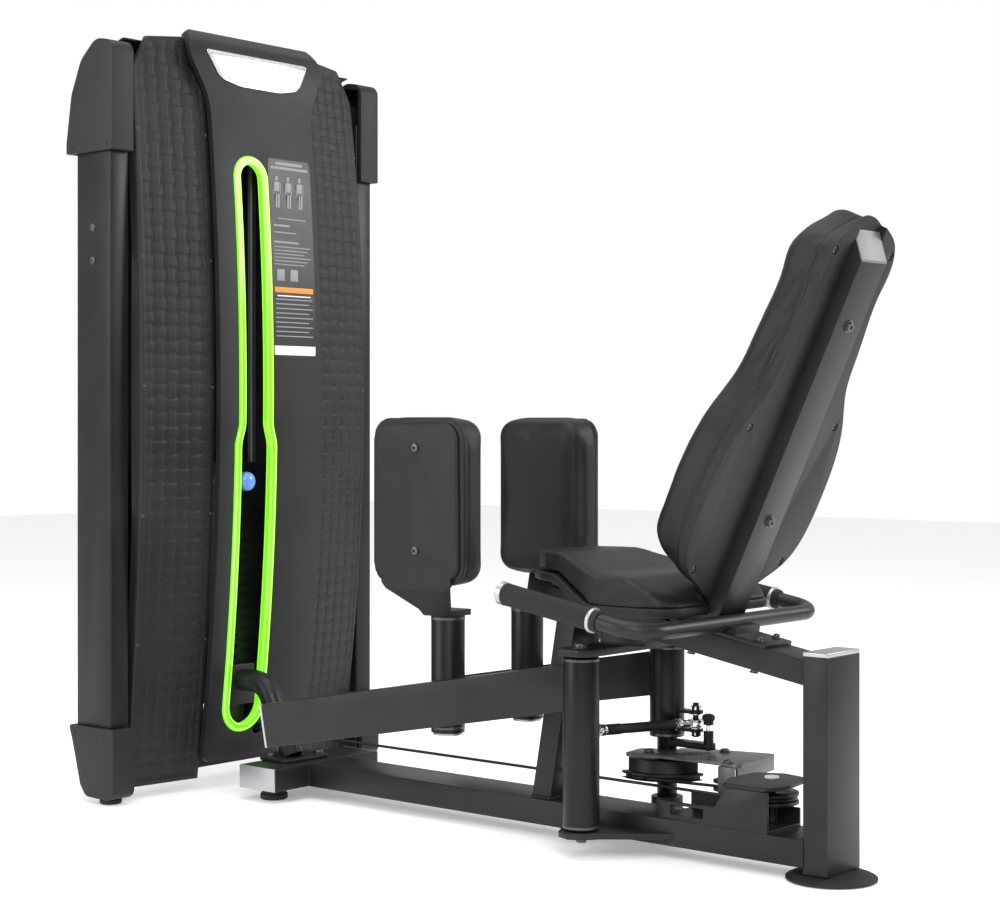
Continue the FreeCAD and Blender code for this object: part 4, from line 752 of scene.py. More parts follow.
def sewn_line(piece: bpy.types.Object, origin: Vector, normal: Vector, distance: float,
    half: float = 0.0035, depth: float = 0.0016) -> None:
    """Draw a sewn line into a cushion's sides at a distance from its backing."""
    mesh = piece.data
    count = len(mesh.vertices)
    co = np.zeros(count * 3)
    mesh.vertices.foreach_get("co", co)
    co = co.reshape(-1, 3)
    normals = np.zeros(count * 3)
    mesh.vertex_normals.foreach_get("vector", normals)
    normals = normals.reshape(-1, 3)
    away = (co - np.array(origin)) @ np.array(normal) - distance
    sides = np.abs(normals @ np.array(normal)) < 0.75
    pull = np.clip(1 - (away / half) ** 2, 0, 1) * depth * sides
    co = co - normals * pull[:, None]
    mesh.vertices.foreach_set("co", co.ravel())
    mesh.update()


# --- The machine's sub-assemblies -------------------------------------------------------


@dataclass
class Tower:
    """The weight tower: bowed panels, covers, selector slot and stack.

    Args:
        weave_pitch: distance between neighbouring strands, in metres.
        strand: half width of a strand.
        strand_rise: how far a strand stands off the ground of the weave.
        grid: spacing of the woven panel's points.
    """

    bolts: BoltMaker
    weave_pitch: float = 0.0308
    strand: float = 0.0108
    strand_rise: float = 0.0021
    grid: float = 0.0022

    def build(self) -> None:
        """Make every visible piece of the tower."""
        for side in (-1, 1):
            self.woven_panel(side)
        self.center_panel()
        self.slot_trim()
        self.badge()
        self.placard()
        for node, width in (("upper_side_covers", 0.004), ("lower_side_covers", 0.004)):
            carried(node, MOULDED, "frame", width, 3)
        carried("rear_cover", MOULDED, "frame", 0.0012)
        carried("tower_uprights", POWDER, "frame", 0.004, 3)
        self.stack()
        self.screws()

    def weave_height(self, u: np.ndarray, v: np.ndarray) -> np.ndarray:
        """Relief of a plain weave: each strand rises over one crossing and dips under the next."""
        p = self.weave_pitch
        col = np.round(u / p)
        row = np.round(v / p)
        across = np.abs(u - col * p)
        along = np.abs(v - row * p)

        def edge(d: np.ndarray) -> np.ndarray:
            """How fully a point lies on a strand, by its distance from the strand's middle."""
            return np.clip((self.strand - d) / 0.0016, 0, 1)

        def crown(d: np.ndarray) -> np.ndarray:
            """The strand's slightly domed section."""
            return 1 - 0.18 * (d / self.strand) ** 2

        upright = (0.5 + 0.5 * np.cos(np.pi * (v / p - col))) * crown(across)
        level = (0.5 - 0.5 * np.cos(np.pi * (u / p - row))) * crown(along)
        stand = np.where(edge(across) > 0, (0.25 + 0.75 * upright) * edge(across), 0)
        lie = np.where(edge(along) > 0, (0.25 + 0.75 * level) * edge(along), 0)
        return np.maximum(stand, lie) * self.strand_rise

    def woven_panel(self, side: int) -> None:
        """One side's swept back panel with its raised basket weave and plain rim.

        Args:
            side: -1 for the user's left, 1 for the right.
        """
        wide, bottom = 0.1896, 0.025
        cols = int(wide / self.grid)
        rows = int(1.66 / self.grid)
        u = np.linspace(0.0004, wide, cols + 1)
        top = np.where(u < 0.145, 1.684 - 0.11 * u, 1.6681 - (u - 0.145) * 1.75)
        t = np.linspace(0, 1, rows + 1)
        grid_u = np.repeat(u[None, :], rows + 1, 0)
        grid_z = bottom + t[:, None] * (top - bottom)[None, :]
        rim = np.minimum.reduce([grid_u - 0.004, wide - grid_u, grid_z - bottom, (top[None, :] - grid_z)])
        inside = rim > 0.011
        woven = self.weave_height(grid_u - 0.02, grid_z)
        lift = np.where(inside, woven - self.strand_rise - 0.0006,
            -0.0004 * np.clip((0.0025 - rim) / 0.0025, 0, 1) ** 2 * 6)
        sweep = PANEL_SWEEP
        back = -BOW * (grid_z - BOW_MIDDLE) ** 2
        x = FRONT - PANEL_SETBACK + (back + lift) * math.cos(sweep) - grid_u * math.sin(sweep)
        y = PANEL_HALF + (back + lift) * math.sin(sweep) + grid_u * math.cos(sweep)
        verts = np.stack([x.ravel(), side * y.ravel(), grid_z.ravel()], 1)
        wide_row = cols + 1
        base = (np.arange(rows)[:, None] * wide_row + np.arange(cols)[None, :]).ravel()
        quads = np.stack([base, base + 1, base + wide_row + 1, base + wide_row], 1)
        if side < 0:
            quads = quads[:, ::-1]
        name = "woven_panel_%s" % ("left" if side < 0 else "right")
        mesh = bpy.data.meshes.new(name)
        mesh.from_pydata(verts.tolist(), [], quads.tolist())
        panel = bpy.data.objects.new(name, mesh)
        bpy.context.scene.collection.objects.link(panel)
        only(panel)
        bpy.ops.object.mode_set(mode="EDIT")
        bpy.ops.mesh.select_mode(type="EDGE")
        bpy.ops.mesh.select_all(action="DESELECT")
        bpy.ops.mesh.select_non_manifold()
        bpy.ops.mesh.extrude_region_move(TRANSFORM_OT_translate={"value": (-0.0085, 0, 0)})
        bpy.ops.mesh.fill()
        bpy.ops.object.mode_set(mode="OBJECT")
        smooth(panel, 50)
        dress(panel, WEAVE, "frame", ("weave_panel_%s" % ("left" if side < 0 else "right"),))
        self.panel_return(side, wide, sweep)
        rim_screws = []
        for z in (0.06, 0.34, 0.62, 0.9, 1.18, 1.46):
            for uu in (0.006, 0.1835):
                if uu < 0.1 and z < 0.1:
                    continue
                bx = bow_x(z) - PANEL_SETBACK - uu * math.sin(sweep)
                by = PANEL_HALF - BOW * (z - BOW_MIDDLE) ** 2 * math.sin(sweep) + uu * math.cos(sweep)
                rim_screws.append(self.bolts.at("rim_screw", Vector((bx - 0.0006, side * by, z)),
                    Vector((1, side * 0.118, 0)), 0.0035, 0.0022))
        dress(merge("%s_screws" % name, rim_screws), DARK_STEEL, "frame")

    def panel_return(self, side: int, wide: float, sweep: float) -> None:
        """The woven panel's outer edge, turned back towards the upright.

        Args:
            side: -1 for the user's left, 1 for the right.
            wide: the panel's width.
            sweep: how far the panel is swept back, in radians.
        """
        verts: List[Point] = []
        rows = 40
        for i in range(rows + 1):
            z = 0.03 + (1.588 - 0.03) * i / rows
            back = -BOW * (z - BOW_MIDDLE) ** 2
            x = FRONT - PANEL_SETBACK + (back - 0.0095) * math.cos(sweep) - wide * math.sin(sweep)
            y = PANEL_HALF + (back - 0.0095) * math.sin(sweep) + wide * math.cos(sweep)
            verts += [(x, side * y, z), (x - 0.014, side * (y + 0.0015), z),
                (min(x - 0.014, station(1556.5)), side * min(y + 0.004, 0.3495), z)]
        faces = [(3 * i + k, 3 * i + k + 1, 3 * i + k + 4, 3 * i + k + 3) for i in range(rows) for k in (0,
            1)]
        name = "panel_return_%s" % ("left" if side < 0 else "right")
        mesh = bpy.data.meshes.new(name)
        mesh.from_pydata(verts, [], faces)
        wall = bpy.data.objects.new(name, mesh)
        bpy.context.scene.collection.objects.link(wall)
        only(wall)
        mod = wall.modifiers.new("Thick", "SOLIDIFY")
        mod.thickness = 0.0025
        mod.offset = 0
        bpy.ops.object.modifier_apply(modifier=mod.name)
        smooth(wall, 40)
        dress(wall, MOULDED, "frame")

    def center_panel(self) -> None:
        """The centre panel, its edges rounded."""
        carried("front_center_panel", MOULDED, "frame", 0.0035, 3, 28)

    def slot_ring(self, name: str, shrink: float, width: float, front: float, depth: float,
        round_by: float) -> bpy.types.Object:
        """A ring round the stepped selector slot that follows the panel's bow.

        Args:
            name: the ring's name.
            shrink: how far inside the slot's outline it starts.
            width: its width.
            front: how far it stands off the panel.
            depth: its depth.
            round_by: rounding of its edges.

        Returns:
            The ring.
        """
        def straight(y0: float, z0: float, y1: float, z1: float, n: int) -> List[Tuple[float, float]]:
            """Points between two ends, without the ends."""
            return [(y0 + (y1 - y0) * i / n, z0 + (z1 - z0) * i / n) for i in range(1, n)]

        def outline(inset: float) -> List[Tuple[float, float]]:
            """The stepped slot's outline, drawn in by an inset."""
            low, high, bottom, top = 0.065 - inset, 0.053 - inset, 0.12 + inset, 1.425 - inset
            points = [(low * math.cos(a), bottom + low + low * math.sin(a))
                      for a in np.linspace(math.pi, 2 * math.pi, 25)]
            points += straight(low, bottom + low, low, 0.765, 14)
            points += [(low + (high - low) * (0.5 - 0.5 * math.cos(math.pi * i / 8)),
                0.765 + 0.06 * i / 8) for i in range(9)]
            points += straight(high, 0.825, high, top - high, 14)
            points += [(high * math.cos(a), top - high + high * math.sin(a))
                       for a in np.linspace(0, math.pi, 25)]
            points += straight(-high, top - high, -high, 0.825, 14)
            points += [(-(low + (high - low) * (0.5 + 0.5 * math.cos(math.pi * i / 8))),
                0.825 - 0.06 * i / 8) for i in range(9)]
            points += straight(-low, 0.765, -low, bottom + low, 14)
            return points
        outer = outline(shrink)
        inner = outline(shrink + width)
        count = len(outer)
        verts: List[Point] = []
        for ring, shift in ((outer, front), (inner, front), (inner, front - depth), (outer, front - depth)):
            verts.extend((bow_x(z) + shift, STACK_Y + y, z) for y, z in ring)
        faces = [(r * count + i, r * count + (i + 1) % count, ((r + 1) % 4) * count + (i + 1) % count,
            ((r + 1) % 4) * count + i)
                 for r in range(4) for i in range(count)]
        mesh = bpy.data.meshes.new(name)
        mesh.from_pydata(verts, [], faces)
        work = bmesh.new()
        work.from_mesh(mesh)
        bmesh.ops.recalc_face_normals(work, faces=work.faces)
        work.to_mesh(mesh)
        work.free()
        ring_obj = bpy.data.objects.new(name, mesh)
        bpy.context.scene.collection.objects.link(ring_obj)
        return smooth(bevel(ring_obj, round_by, 3, 50))

    def slot_trim(self) -> None:
        """The neon band round the slot: a bright outer lip, a step and a deeper inner wall, all three with
        painted light, an emission as if the plastic were a lamp.
        """
        trim = self.slot_ring("slot_trim_band", 0.0005, 0.0195, 0.0022, 0.017, 0.004)
        dress(trim, NEON, "frame", ("slot_trim",))
        lip = self.slot_ring("slot_trim_lip", 0.003, 0.006, 0.0040, 0.006, 0.0022)
        dress(lip, NEON_LIP, "frame")
        inner = self.slot_ring("slot_trim_inner", 0.0165, 0.0035, 0.0030, 0.018, 0.0012)
        dress(inner, NEON_LIP, "frame")

    def badge(self) -> None:
        """The plain silver badge with a raised rim; it carries no name."""
        carried("badge_plate", BADGE, "frame", 0.0008)
        spots = [(-0.150, 1.650), (-0.117, 1.597), (-0.06, 1.5855), (0.06, 1.5855), (0.117, 1.597),
            (0.150, 1.650)]
        path = [(bow_x(z) + 0.0030, y, z) for y, z in spots + spots[:1]]
        dress(bead("badge_rim", path, 0.0016), BADGE_RIM, "frame")

    def placard(self) -> None:
        """The exercise placard: a dark sheet with plain bars and figures where print would be."""
        self.sheet("placard_sheet", 0.006, 0.139, 0.970, 1.426, 0.0007, PLACARD)
        marks: List[Tuple[float, float, float, float]] = [(0.014, 0.131, 1.402, 1.408),
            (0.030, 0.115, 1.412, 1.419)]
        for k in range(3):
            y = 0.026 + 0.036 * k
            marks += [(y + 0.001, y + 0.009, 1.375, 1.386), (y - 0.003, y + 0.013, 1.345, 1.372),
                (y - 0.006, y - 0.004, 1.335, 1.37),
                      (y + 0.014, y + 0.016, 1.335, 1.37), (y - 0.001, y + 0.004, 1.300, 1.344),
                      (y + 0.006, y + 0.011, 1.300, 1.344)]
        marks += [(0.03, 0.116, 1.287, 1.2895), (0.014, 0.065, 1.270, 1.2745), (0.014, 0.084, 1.255, 1.258),
            (0.014, 0.092, 1.232, 1.2365)]
        for k in range(6):
            marks.append((0.014, 0.128 - 0.01 * (k % 3), 1.222 - 0.008 * k, 1.2245 - 0.008 * k))
        for k in range(2):
            marks += [(0.02 + 0.042 * k, 0.044 + 0.042 * k, 1.146, 1.172)]
        for k in range(9):
            marks.append((0.014, 0.13 - 0.012 * (k % 2), 1.102 - 0.0105 * k, 1.1045 - 0.0105 * k))
        self.marks("placard_marks", marks, 0.0013, MARKS)
        self.marks("placard_orange", [(0.012, 0.133, 1.119, 1.131)], 0.0013, MARKS_ORANGE)
        self.marks("placard_white", [(0.008, 0.137, 0.976, 0.997), (0.02, 0.125, 1.110, 1.1125)], 0.0013,
            MARKS_WHITE)

    def sheet(self, name: str, y0: float, y1: float, z0: float, z1: float, off: float,
        finish: Finish) -> None:
        """A thin sheet on the bowed panel, its corners clipped."""
        rows = 24
        verts: List[Point] = []
        for i in range(rows + 1):
            z = z0 + (z1 - z0) * i / rows
            clip = 0.004 if i in (0, rows) else 0.0
            verts += [(bow_x(z) + off, y0 + clip, z), (bow_x(z) + off, y1 - clip, z)]
        faces = [(2 * i, 2 * i + 1, 2 * i + 3, 2 * i + 2) for i in range(rows)]
        mesh = bpy.data.meshes.new(name)
        mesh.from_pydata(verts, [], faces)
        obj = bpy.data.objects.new(name, mesh)
        bpy.context.scene.collection.objects.link(obj)
        only(obj)
        mod = obj.modifiers.new("Thick", "SOLIDIFY")
        mod.thickness = 0.0006
        mod.offset = -1
        bpy.ops.object.modifier_apply(modifier=mod.name)
        dress(obj, finish, "frame")

    def marks(self, name: str, bars: Sequence[Tuple[float, float, float, float]], off: float,
        finish: Finish) -> None:
        """Thin raised bars on the placard.

        Args:
            name: the piece's name.
            bars: (low y, high y, low z, high z) of each bar.
            off: how far they stand off the panel.
            finish: their finish.
        """
        parts = []
        for y0, y1, z0, z1 in bars:
            middle = (z0 + z1) / 2
            x = bow_x(middle) + off
            parts.append(slab(name, (x - 0.0006, y0, z0), (x, y1, z1), 0.0002))
        dress(merge(name, parts), finish, "frame")

    def stack(self) -> None:
        """Plates, lifted head, and selector pin with its blue knob."""
        carried("weight_plates", CAST, "frame", 0.0022, 2)
        carried("lifted_stack", CAST, "lifted_stack", 0.0022, 2)
        low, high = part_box("selector_pin")
        middle = (low + high) / 2
        profile = [(0.007, -0.004), (0.018, -0.003), (0.0205, 0.001), (0.0218, 0.008), (0.0218, 0.016),
            (0.020, 0.0205), (0.016, 0.0245), (0.009, 0.0272), (0.002, 0.0278)]
        knob = lathe("pin_knob", profile, Vector((high.x - 0.028, middle.y, middle.z)), Vector((1, 0, 0)))
        dress(knob, BLUE, "selector_pin", ("selector_pin",))
        shank = lathe("pin_shank", [(0.002, 0), (0.0047, 0.003), (0.0047, high.x - low.x - 0.032)],
            Vector((low.x, middle.y, middle.z)), Vector((1, 0, 0)), 24)
        dress(shank, CHROME, "selector_pin")

    def screws(self) -> None:
        """Screws of the side covers."""
        parts = []
        for side in (-1, 1):
            for x, z in ((-1560, 1.42), (-1680, 1.42), (-1572, 0.15), (-1668, 0.15)):
                parts.append(self.bolts.at("cover_screw", Vector((station(-x), side * 0.4094, z)),
                    Vector((0, side, 0)), 0.004, 0.0006))
        dress(merge("cover_screws", parts), DARK_STEEL, "frame")


@dataclass
class BaseFrame:
    """Base tubes, posts, feet, the link to the tower and their hardware."""

    bolts: BoltMaker

    def build(self) -> None:
        """Make every visible piece of the base frame."""
        for node in ("base_tube", "cross_tube", "rear_post", "seat_beam", "seat_support"):
            carried(node, FRAME_COAT, "frame", 0.0042, 3)
        for node in ("link_flange", "pivot_head_plate", "pivot_feet", "seat_plate"):
            carried(node, FRAME_COAT, "frame", 0.0018, 2)
        carried("link_tube", FRAME_COAT, "frame", 0.001, 2)
        self.tower_frame()
        self.caps()
        self.feet()
        self.welds()
        self.hardware()

    def tower_frame(self) -> None:
        """The tower's deck and top beam; the panel returns stand for its hidden tabs."""
        piece = cad_copy("tower_frame", "tower_frame_piece")
        work = bmesh.new()
        work.from_mesh(piece.data)
        loose = set(work.verts)
        while loose:
            stack = [loose.pop()]
            island = list(stack)
            while stack:
                for edge in stack.pop().link_edges:
                    for vert in edge.verts:
                        if vert in loose:
                            loose.remove(vert)
                            stack.append(vert)
                            island.append(vert)
            heights = [vert.co.z for vert in island]
            if min(heights) > 0.5 and max(heights) < 1.4:
                bmesh.ops.delete(work, geom=island, context="VERTS")
        work.to_mesh(piece.data)
        work.free()
        bevel(piece, 0.0018, 2)
        smooth(piece)
        dress(piece, FRAME_COAT, "frame", ("tower_frame",))

    def caps(self) -> None:
        """Silver caps on the post and cross tube, and the pale cap on the back tube."""
        piece = cad_copy("end_caps", "end_caps_piece")
        bevel(piece, 0.002, 3)
        smooth(piece)
        dress(piece, SILVER, "frame", ("end_caps",))
        piece.data.materials.append(CAP_GREY.material())
        for poly in piece.data.polygons:
            if poly.center.z > 0.9:
                poly.material_index = 1

    def feet(self) -> None:
        """The rear foot with its stepped dome, and the rubber pads and buffers."""
        low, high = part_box("rear_post")
        middle = (low + high) / 2
        profile = [(0.0815, 0.0), (0.083, 0.0012), (0.083, 0.0045), (0.0812, 0.0062), (0.078, 0.0068),
            (0.0765, 0.0085), (0.070, 0.0108), (0.058, 0.0124), (0.04, 0.0136), (0.01, 0.0139)]
        foot = lathe("rear_foot", profile, Vector((middle.x, 0, 0)), Vector((0, 0, 1)), 72)
        dress(foot, RUBBER, "frame", ("rubber_mounts",))
        parts = []
        for x, y, r, h in ((1361, 110, 0.03, 0.025), (1361, -110, 0.03, 0.025), (1590, 376, 0.024, 0.02),
            (1590, -376, 0.024, 0.02)):
            pad = [(r - 0.002, 0), (r, 0.002), (r, h * 0.45), (r - 0.003, h * 0.5), (r - 0.003, h - 0.0002)]
            parts.append(lathe("foot_pad", pad, Vector((station(x), y * MM, 0)), Vector((0, 0, 1)), 40))
        for sign in (-1, 1):
            tube = [(0.024, 0), (0.025, 0.002), (0.025, 0.11), (0.022, 0.112), (0.022, 0.118),
                (0.025, 0.12), (0.025, 0.135), (0.023, 0.1375)]
            parts.append(lathe("buffer", tube, Vector((station(1600), STACK_Y + sign * 0.09, 0.0882)),
                Vector((0, 0, 1)), 32))
        dress(merge("rubber_feet", parts), RUBBER, "frame")

    def welds(self) -> None:
        """Weld beads where the tubes meet."""
        seams = []
        post_x = station(50)
        half = 0.0575
        seams.append(bead("weld", [(post_x - 0.001, -half, 0.0275), (post_x - 0.001, -half, 0.075),
            (post_x - 0.001, half, 0.075), (post_x - 0.001, half, 0.0275)]))
        x0, x1 = station(685), station(638)
        seams.append(bead("weld", [(x0, -0.046, 0.0762), (x1, -0.046, 0.0762), (x1, 0.046, 0.0762),
            (x0, 0.046, 0.0762), (x0, -0.046, 0.0762)], 0.0024))

        def beam_z(back: float) -> float:
            """Height of the seat beam's top at a station."""
            return 0.407 + math.tan(math.radians(10)) * (back - 122.6) * MM

        top = beam_z(50)
        seams.append(bead("weld", [(post_x - 0.001, -0.0455, top - 0.044), (post_x - 0.001, -0.0455, top),
            (post_x - 0.001, 0.0455, top), (post_x - 0.001, 0.0455, top - 0.044)], 0.0024))
        for sign in (-1, 1):
            seams.append(bead("weld", [(station(575), sign * 0.0455, beam_z(575) - 0.0462),
                (station(619), sign * 0.0455, beam_z(619) - 0.0462)], 0.0024))
            seams.append(bead("weld", [(station(515), sign * 0.0458, 0.3945), (station(405), sign * 0.0458,
                0.3945)], 0.0024))
        joint = station(1306)
        seams.append(bead("weld", [(joint, -half, 0.0275), (joint, -half, 0.0742), (joint, half, 0.0742),
            (joint, half, 0.0275)], 0.0024))
        dress(merge("weld_beads", seams), FRAME_COAT, "frame")

    def hardware(self) -> None:
        """Socket screws and washers where the frame's bolts stand."""
        parts = []
        for solid in islands("frame_bolts"):
            center = (solid.max(0) + solid.min(0)) / 2
            spread = np.linalg.svd(solid - solid.mean(0), full_matrices=False)
            axis = spread[2][2]
            along = (solid - center) @ axis
            radial = np.linalg.norm((solid - center) - np.outer(along, axis), axis=1).max()
            tall = along.max() - along.min()
            if abs(axis[2]) > 0.9:
                up = 1 if center[2] > 0.07 or radial < 0.0135 else -1
                axis = axis * (up if axis[2] > 0 else -up)
            elif abs(axis[1]) > 0.9:
                axis = axis * (1 if axis[1] * center[1] > 0 else -1)
            else:
                axis = axis * (1 if axis[0] > 0 else -1)
            way = Vector(axis)
            base = Vector(center) - way * tall / 2
            if radial > 0.0135 and center[2] > 0.15 and abs(center[1] - 0.045) < 0.01:
                disc = lathe("pale_disc", [(0.0135, 0), (0.014, 0.0006), (0.014, 0.003), (0.0125, 0.004),
                    (0.004, 0.004)], base, way, 48)
                dress(disc, DISC_WHITE, "frame")
                continue
            washer = lathe("washer", [(radial * 0.96, 0), (radial, 0.0003), (radial, 0.0014),
                (radial * 0.96, 0.0018), (radial * 0.5, 0.0018)], base, way, 36)
            parts.append(washer)
            parts.append(self.bolts.at("screw", base + way * 0.0017, way, radial * 0.76, tall - 0.0018))
        dress(merge("frame_screws", parts), DARK_STEEL, "frame", ("frame_bolts",))


@dataclass
class Drive:
    """Pulleys, cam, range plate and tie rod."""

    bolts: BoltMaker

    def build(self) -> None:
        """Make every visible piece of the drive."""
        carried("guide_plate", PLATE_GREY, "frame", 0.0012, 2)
        carried("rear_pulley_cover", MOULDED, "frame", 0.0022, 3)
        carried("pulley_brackets", FRAME_COAT, "frame", 0.0012, 2)
        carried("drive_cam", FRAME_COAT, "right_arm", 0.0014, 2)
        for name in ("top_pulley", "bottom_pulley", "rear_pulley", "guide_pulley"):
            carried(name, NYLON, name, 0.0014, 2)
        self.tie_rod()
        self.range_pin()

    def tie_rod(self) -> None:
        """The turnbuckle: dark barrel, plated rod ends and their threads."""
        carried("tie_rod", CHROME, "tie_rod", 0.0014, 2)
        low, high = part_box("tie_rod")
        right = Vector((high.x - 0.016, high.y - 0.016, 0.226))
        left = Vector((low.x + 0.017, low.y + 0.017, 0.226))
        way = (left - right).normalized()
        span = (left - right).length
        barrel = lathe("turnbuckle_barrel", [(0.009, 0), (0.0108, 0.002), (0.0108, 0.03), (0.0098, 0.034),
            (0.0098, span - 0.134), (0.0108, span - 0.13),
                                             (0.0108, span - 0.102), (0.009, span - 0.1)],
                                             right + way * 0.05, way, 32)
        dress(barrel, FRAME_COAT, "tie_rod")
        threads = []
        for start in (0.019, span - 0.046):
            for k in range(12):
                threads.append(lathe("thread", [(0.0064, 0), (0.0072, 0.0006), (0.0064, 0.0012)],
                    right + way * (start + 0.0013 * k), way, 20))
        dress(merge("rod_threads", threads), CHROME, "tie_rod")

    def range_pin(self) -> None:
        """The range selector's plunger: plated stem and a waisted knob."""
        low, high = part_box("range_pin")
        middle = (low + high) / 2
        stem = [(0.002, 0), (0.0042, 0.0025), (0.0045, 0.004), (0.0045, 0.052)]
        piece = lathe("plunger_stem", stem, Vector((middle.x, middle.y, low.z)), Vector((0, 0, 1)), 24)
        dress(piece, CHROME, "range_pin", ("range_pin",))
        knob = [(0.008, 0), (0.0105, 0.001), (0.0095, 0.006), (0.0128, 0.012), (0.013, 0.016),
            (0.0115, 0.0195), (0.006, 0.0218)]
        dress(lathe("plunger_knob", knob, Vector((middle.x, middle.y, high.z - 0.0219)), Vector((0, 0, 1)),
            32), RUBBER, "range_pin")


@dataclass
class Arms:
    """The two swinging arms: sleeves, beams, pad posts and their caps."""

    def build(self) -> None:
        """Make both arms' visible pieces."""
        for side in ("left", "right"):
            body = side + "_arm"
            carried(side + "_sleeve", POWDER, body, 0.0012, 2)
            carried(side + "_beam", FRAME_COAT, body, 0.0038, 3)
            carried(side + "_pad_post", POWDER, body, 0.0016, 2)
            carried(side + "_arm_caps", SILVER, body, 0.0011, 2)
            self.rings(side, body)
            self.crank_hardware(side, body)

    def rings(self, side: str, body: str) -> None:
        """Bearing rings at the ends of the sleeves and at the tops of the pad posts."""
        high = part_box(side + "_sleeve")[1]
        sign = -1 if side == "left" else 1
        x, y = station(ARM_PIVOT), sign * ARM_PIVOT_Y
        parts = []
        for z in ((high.z - 0.007), (0.0545 if side == "left" else 0.1975)):
            ring = [(0.0346, 0), (0.0354, 0.0008), (0.0354, 0.0048), (0.0346, 0.0056)]
            parts.append(lathe("bearing_ring", ring, Vector((x, y, z)), Vector((0, 0, 1)), 56))
        dress(merge(side + "_bearing_rings", parts), DARK_STEEL, body)
        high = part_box(side + "_pad_post")[1]
        pivot = next(j for j in frame["joints"] if j["name"] == side + "_pad_swivel")["pos_m"]
        ring = [(0.0336, 0), (0.0346, 0.0008), (0.0346, 0.006), (0.0336, 0.0068)]
        parts = [lathe("post_ring", ring, Vector((pivot[0], pivot[1], high.z - 0.0085)), Vector((0, 0, 1)),
            56)]
        neck = [(0.0335, 0), (0.0345, 0.001), (0.0345, 0.005), (0.0335, 0.006)]
        parts.append(lathe("post_neck", neck, Vector((pivot[0], pivot[1], 0.2065)), Vector((0, 0, 1)), 56))
        dress(merge(side + "_post_rings", parts), DARK_STEEL, body)

    def crank_hardware(self, side: str, body: str) -> None:
        """Plated nuts and washers of the tie rod's crank."""
        sign = -1 if side == "left" else 1
        turn = math.radians(124.0 if side == "left" else 6.6)
        x, y = station(ARM_PIVOT) + CRANK * math.cos(turn), sign * ARM_PIVOT_Y + CRANK * math.sin(turn)
        parts = []
        levels = ((0.2005, 0.0085), (0.2512, 0.009)) if side == "right" else ((0.1905, 0.0122),)
        for z, tall in levels:
            nut = [(0.0088, 0), (0.0108, 0.0014), (0.0108, tall - 0.0014), (0.0088, tall)]
            parts.append(lathe("crank_nut", nut, Vector((x, y, z)), Vector((0, 0, 1)), 6))
        for z in ((0.2152, 0.2432) if side == "right" else (0.2152,)):
            washer = [(0.0125, 0), (0.013, 0.0003), (0.013, 0.0013 if side == "right" else 0.0007),
                (0.0125, 0.0016 if side == "right" else 0.0008)]
            parts.append(lathe("crank_washer", washer, Vector((x, y, z)), Vector((0, 0, 1)), 36))
        dress(merge(side + "_crank_hardware", parts), CHROME, body)


@dataclass
class Pads:
    """The two thigh pads on their bent frames."""

    bolts: BoltMaker
    turn: float = math.radians(3.3)

    def build(self) -> None:
        """Make both pads."""
        for side in ("left", "right"):
            sign = -1 if side == "left" else 1
            body = side + "_pad"
            carried(side + "_pad_frame", SHELL, body, 0.0022, 3)
            pivot = Vector(next(j for j in frame["joints"] if j["name"] == side + "_pad_swivel")["pos_m"])
            spin = Matrix.Rotation(-sign * self.turn, 3, "Z")
            outward = spin @ Vector((0, sign, 0))
            backing = Vector((pivot.x, pivot.y, 0)) + outward * 0.0967
            stuffed(side + "_pad_cushion", side + "_thigh_cushion", body, 0.0025, 0.0032, backing, -outward,
                (0.0135,), 0.005)
            parts = []
            for z in (0.569, 0.772):
                at = Vector((pivot.x, pivot.y, z)) + outward * (0.0967 + 0.0082)
                parts.append(self.bolts.at("pad_screw", at, outward, 0.0085, 0.0042))
            dress(merge(side + "_pad_screws", parts), DARK_STEEL, body)


@dataclass
class SeatAndBack:
    """Seat tray and cushion, back tube, shell and cushion."""

    bolts: BoltMaker
    lean: float = math.radians(25.1)

    def local(self, forward: float, y: float, up: float) -> Vector:
        """A point from the back tube's own frame, in metres.

        Args:
            forward: distance in front of the tube's rear face.
            y: distance to the side.
            up: distance up the tube.

        Returns:
            The point in the row frame.
        """
        foot = Vector((station(240.6), 0, 0.4597))
        return foot + Vector((math.sin(self.lean), 0, math.cos(self.lean))) * up + Vector(
            (-math.cos(self.lean), 0, math.sin(self.lean))) * forward + Vector((0, y, 0))

    def build(self) -> None:
        """Make the seat and the back."""
        carried("back_tube", FRAME_COAT, "frame", 0.003, 3)
        shell = carried("back_shell", SHELL, "frame", 0.0045, 3, 40)
        smooth(shell, 50)
        carried("seat_base", SHELL, "frame", 0.004, 3, 40)
        forward = Vector((-math.cos(self.lean), 0, math.sin(self.lean)))
        stuffed("back_cushion", "backrest_cushion", "frame", 0.0025, 0.0034, self.local(0.044, 0, 0),
            forward, (0.012,), 0.006)
        stuffed("seat_cushion", "seat_pad", "frame", 0.0025, 0.003, Vector((0, 0, 0.483)),
            Vector((0, 0, 1)), (), 0.0055)
        self.shell_screws()

    def shell_screws(self) -> None:
        """Six screws sunk in the shell."""
        parts = []
        rearward = Vector((math.cos(self.lean), 0, -math.sin(self.lean)))
        for s, y in ((0.720, 0.096), (0.378, 0.145), (0.093, 0.146)):
            for sign in (-1, 1):
                parts.append(self.bolts.at("shell_screw", self.local(0.0318, sign * y, s), rearward, 0.0068,
                    0.0042))
        dress(merge("shell_screws", parts), DARK_STEEL, "frame")


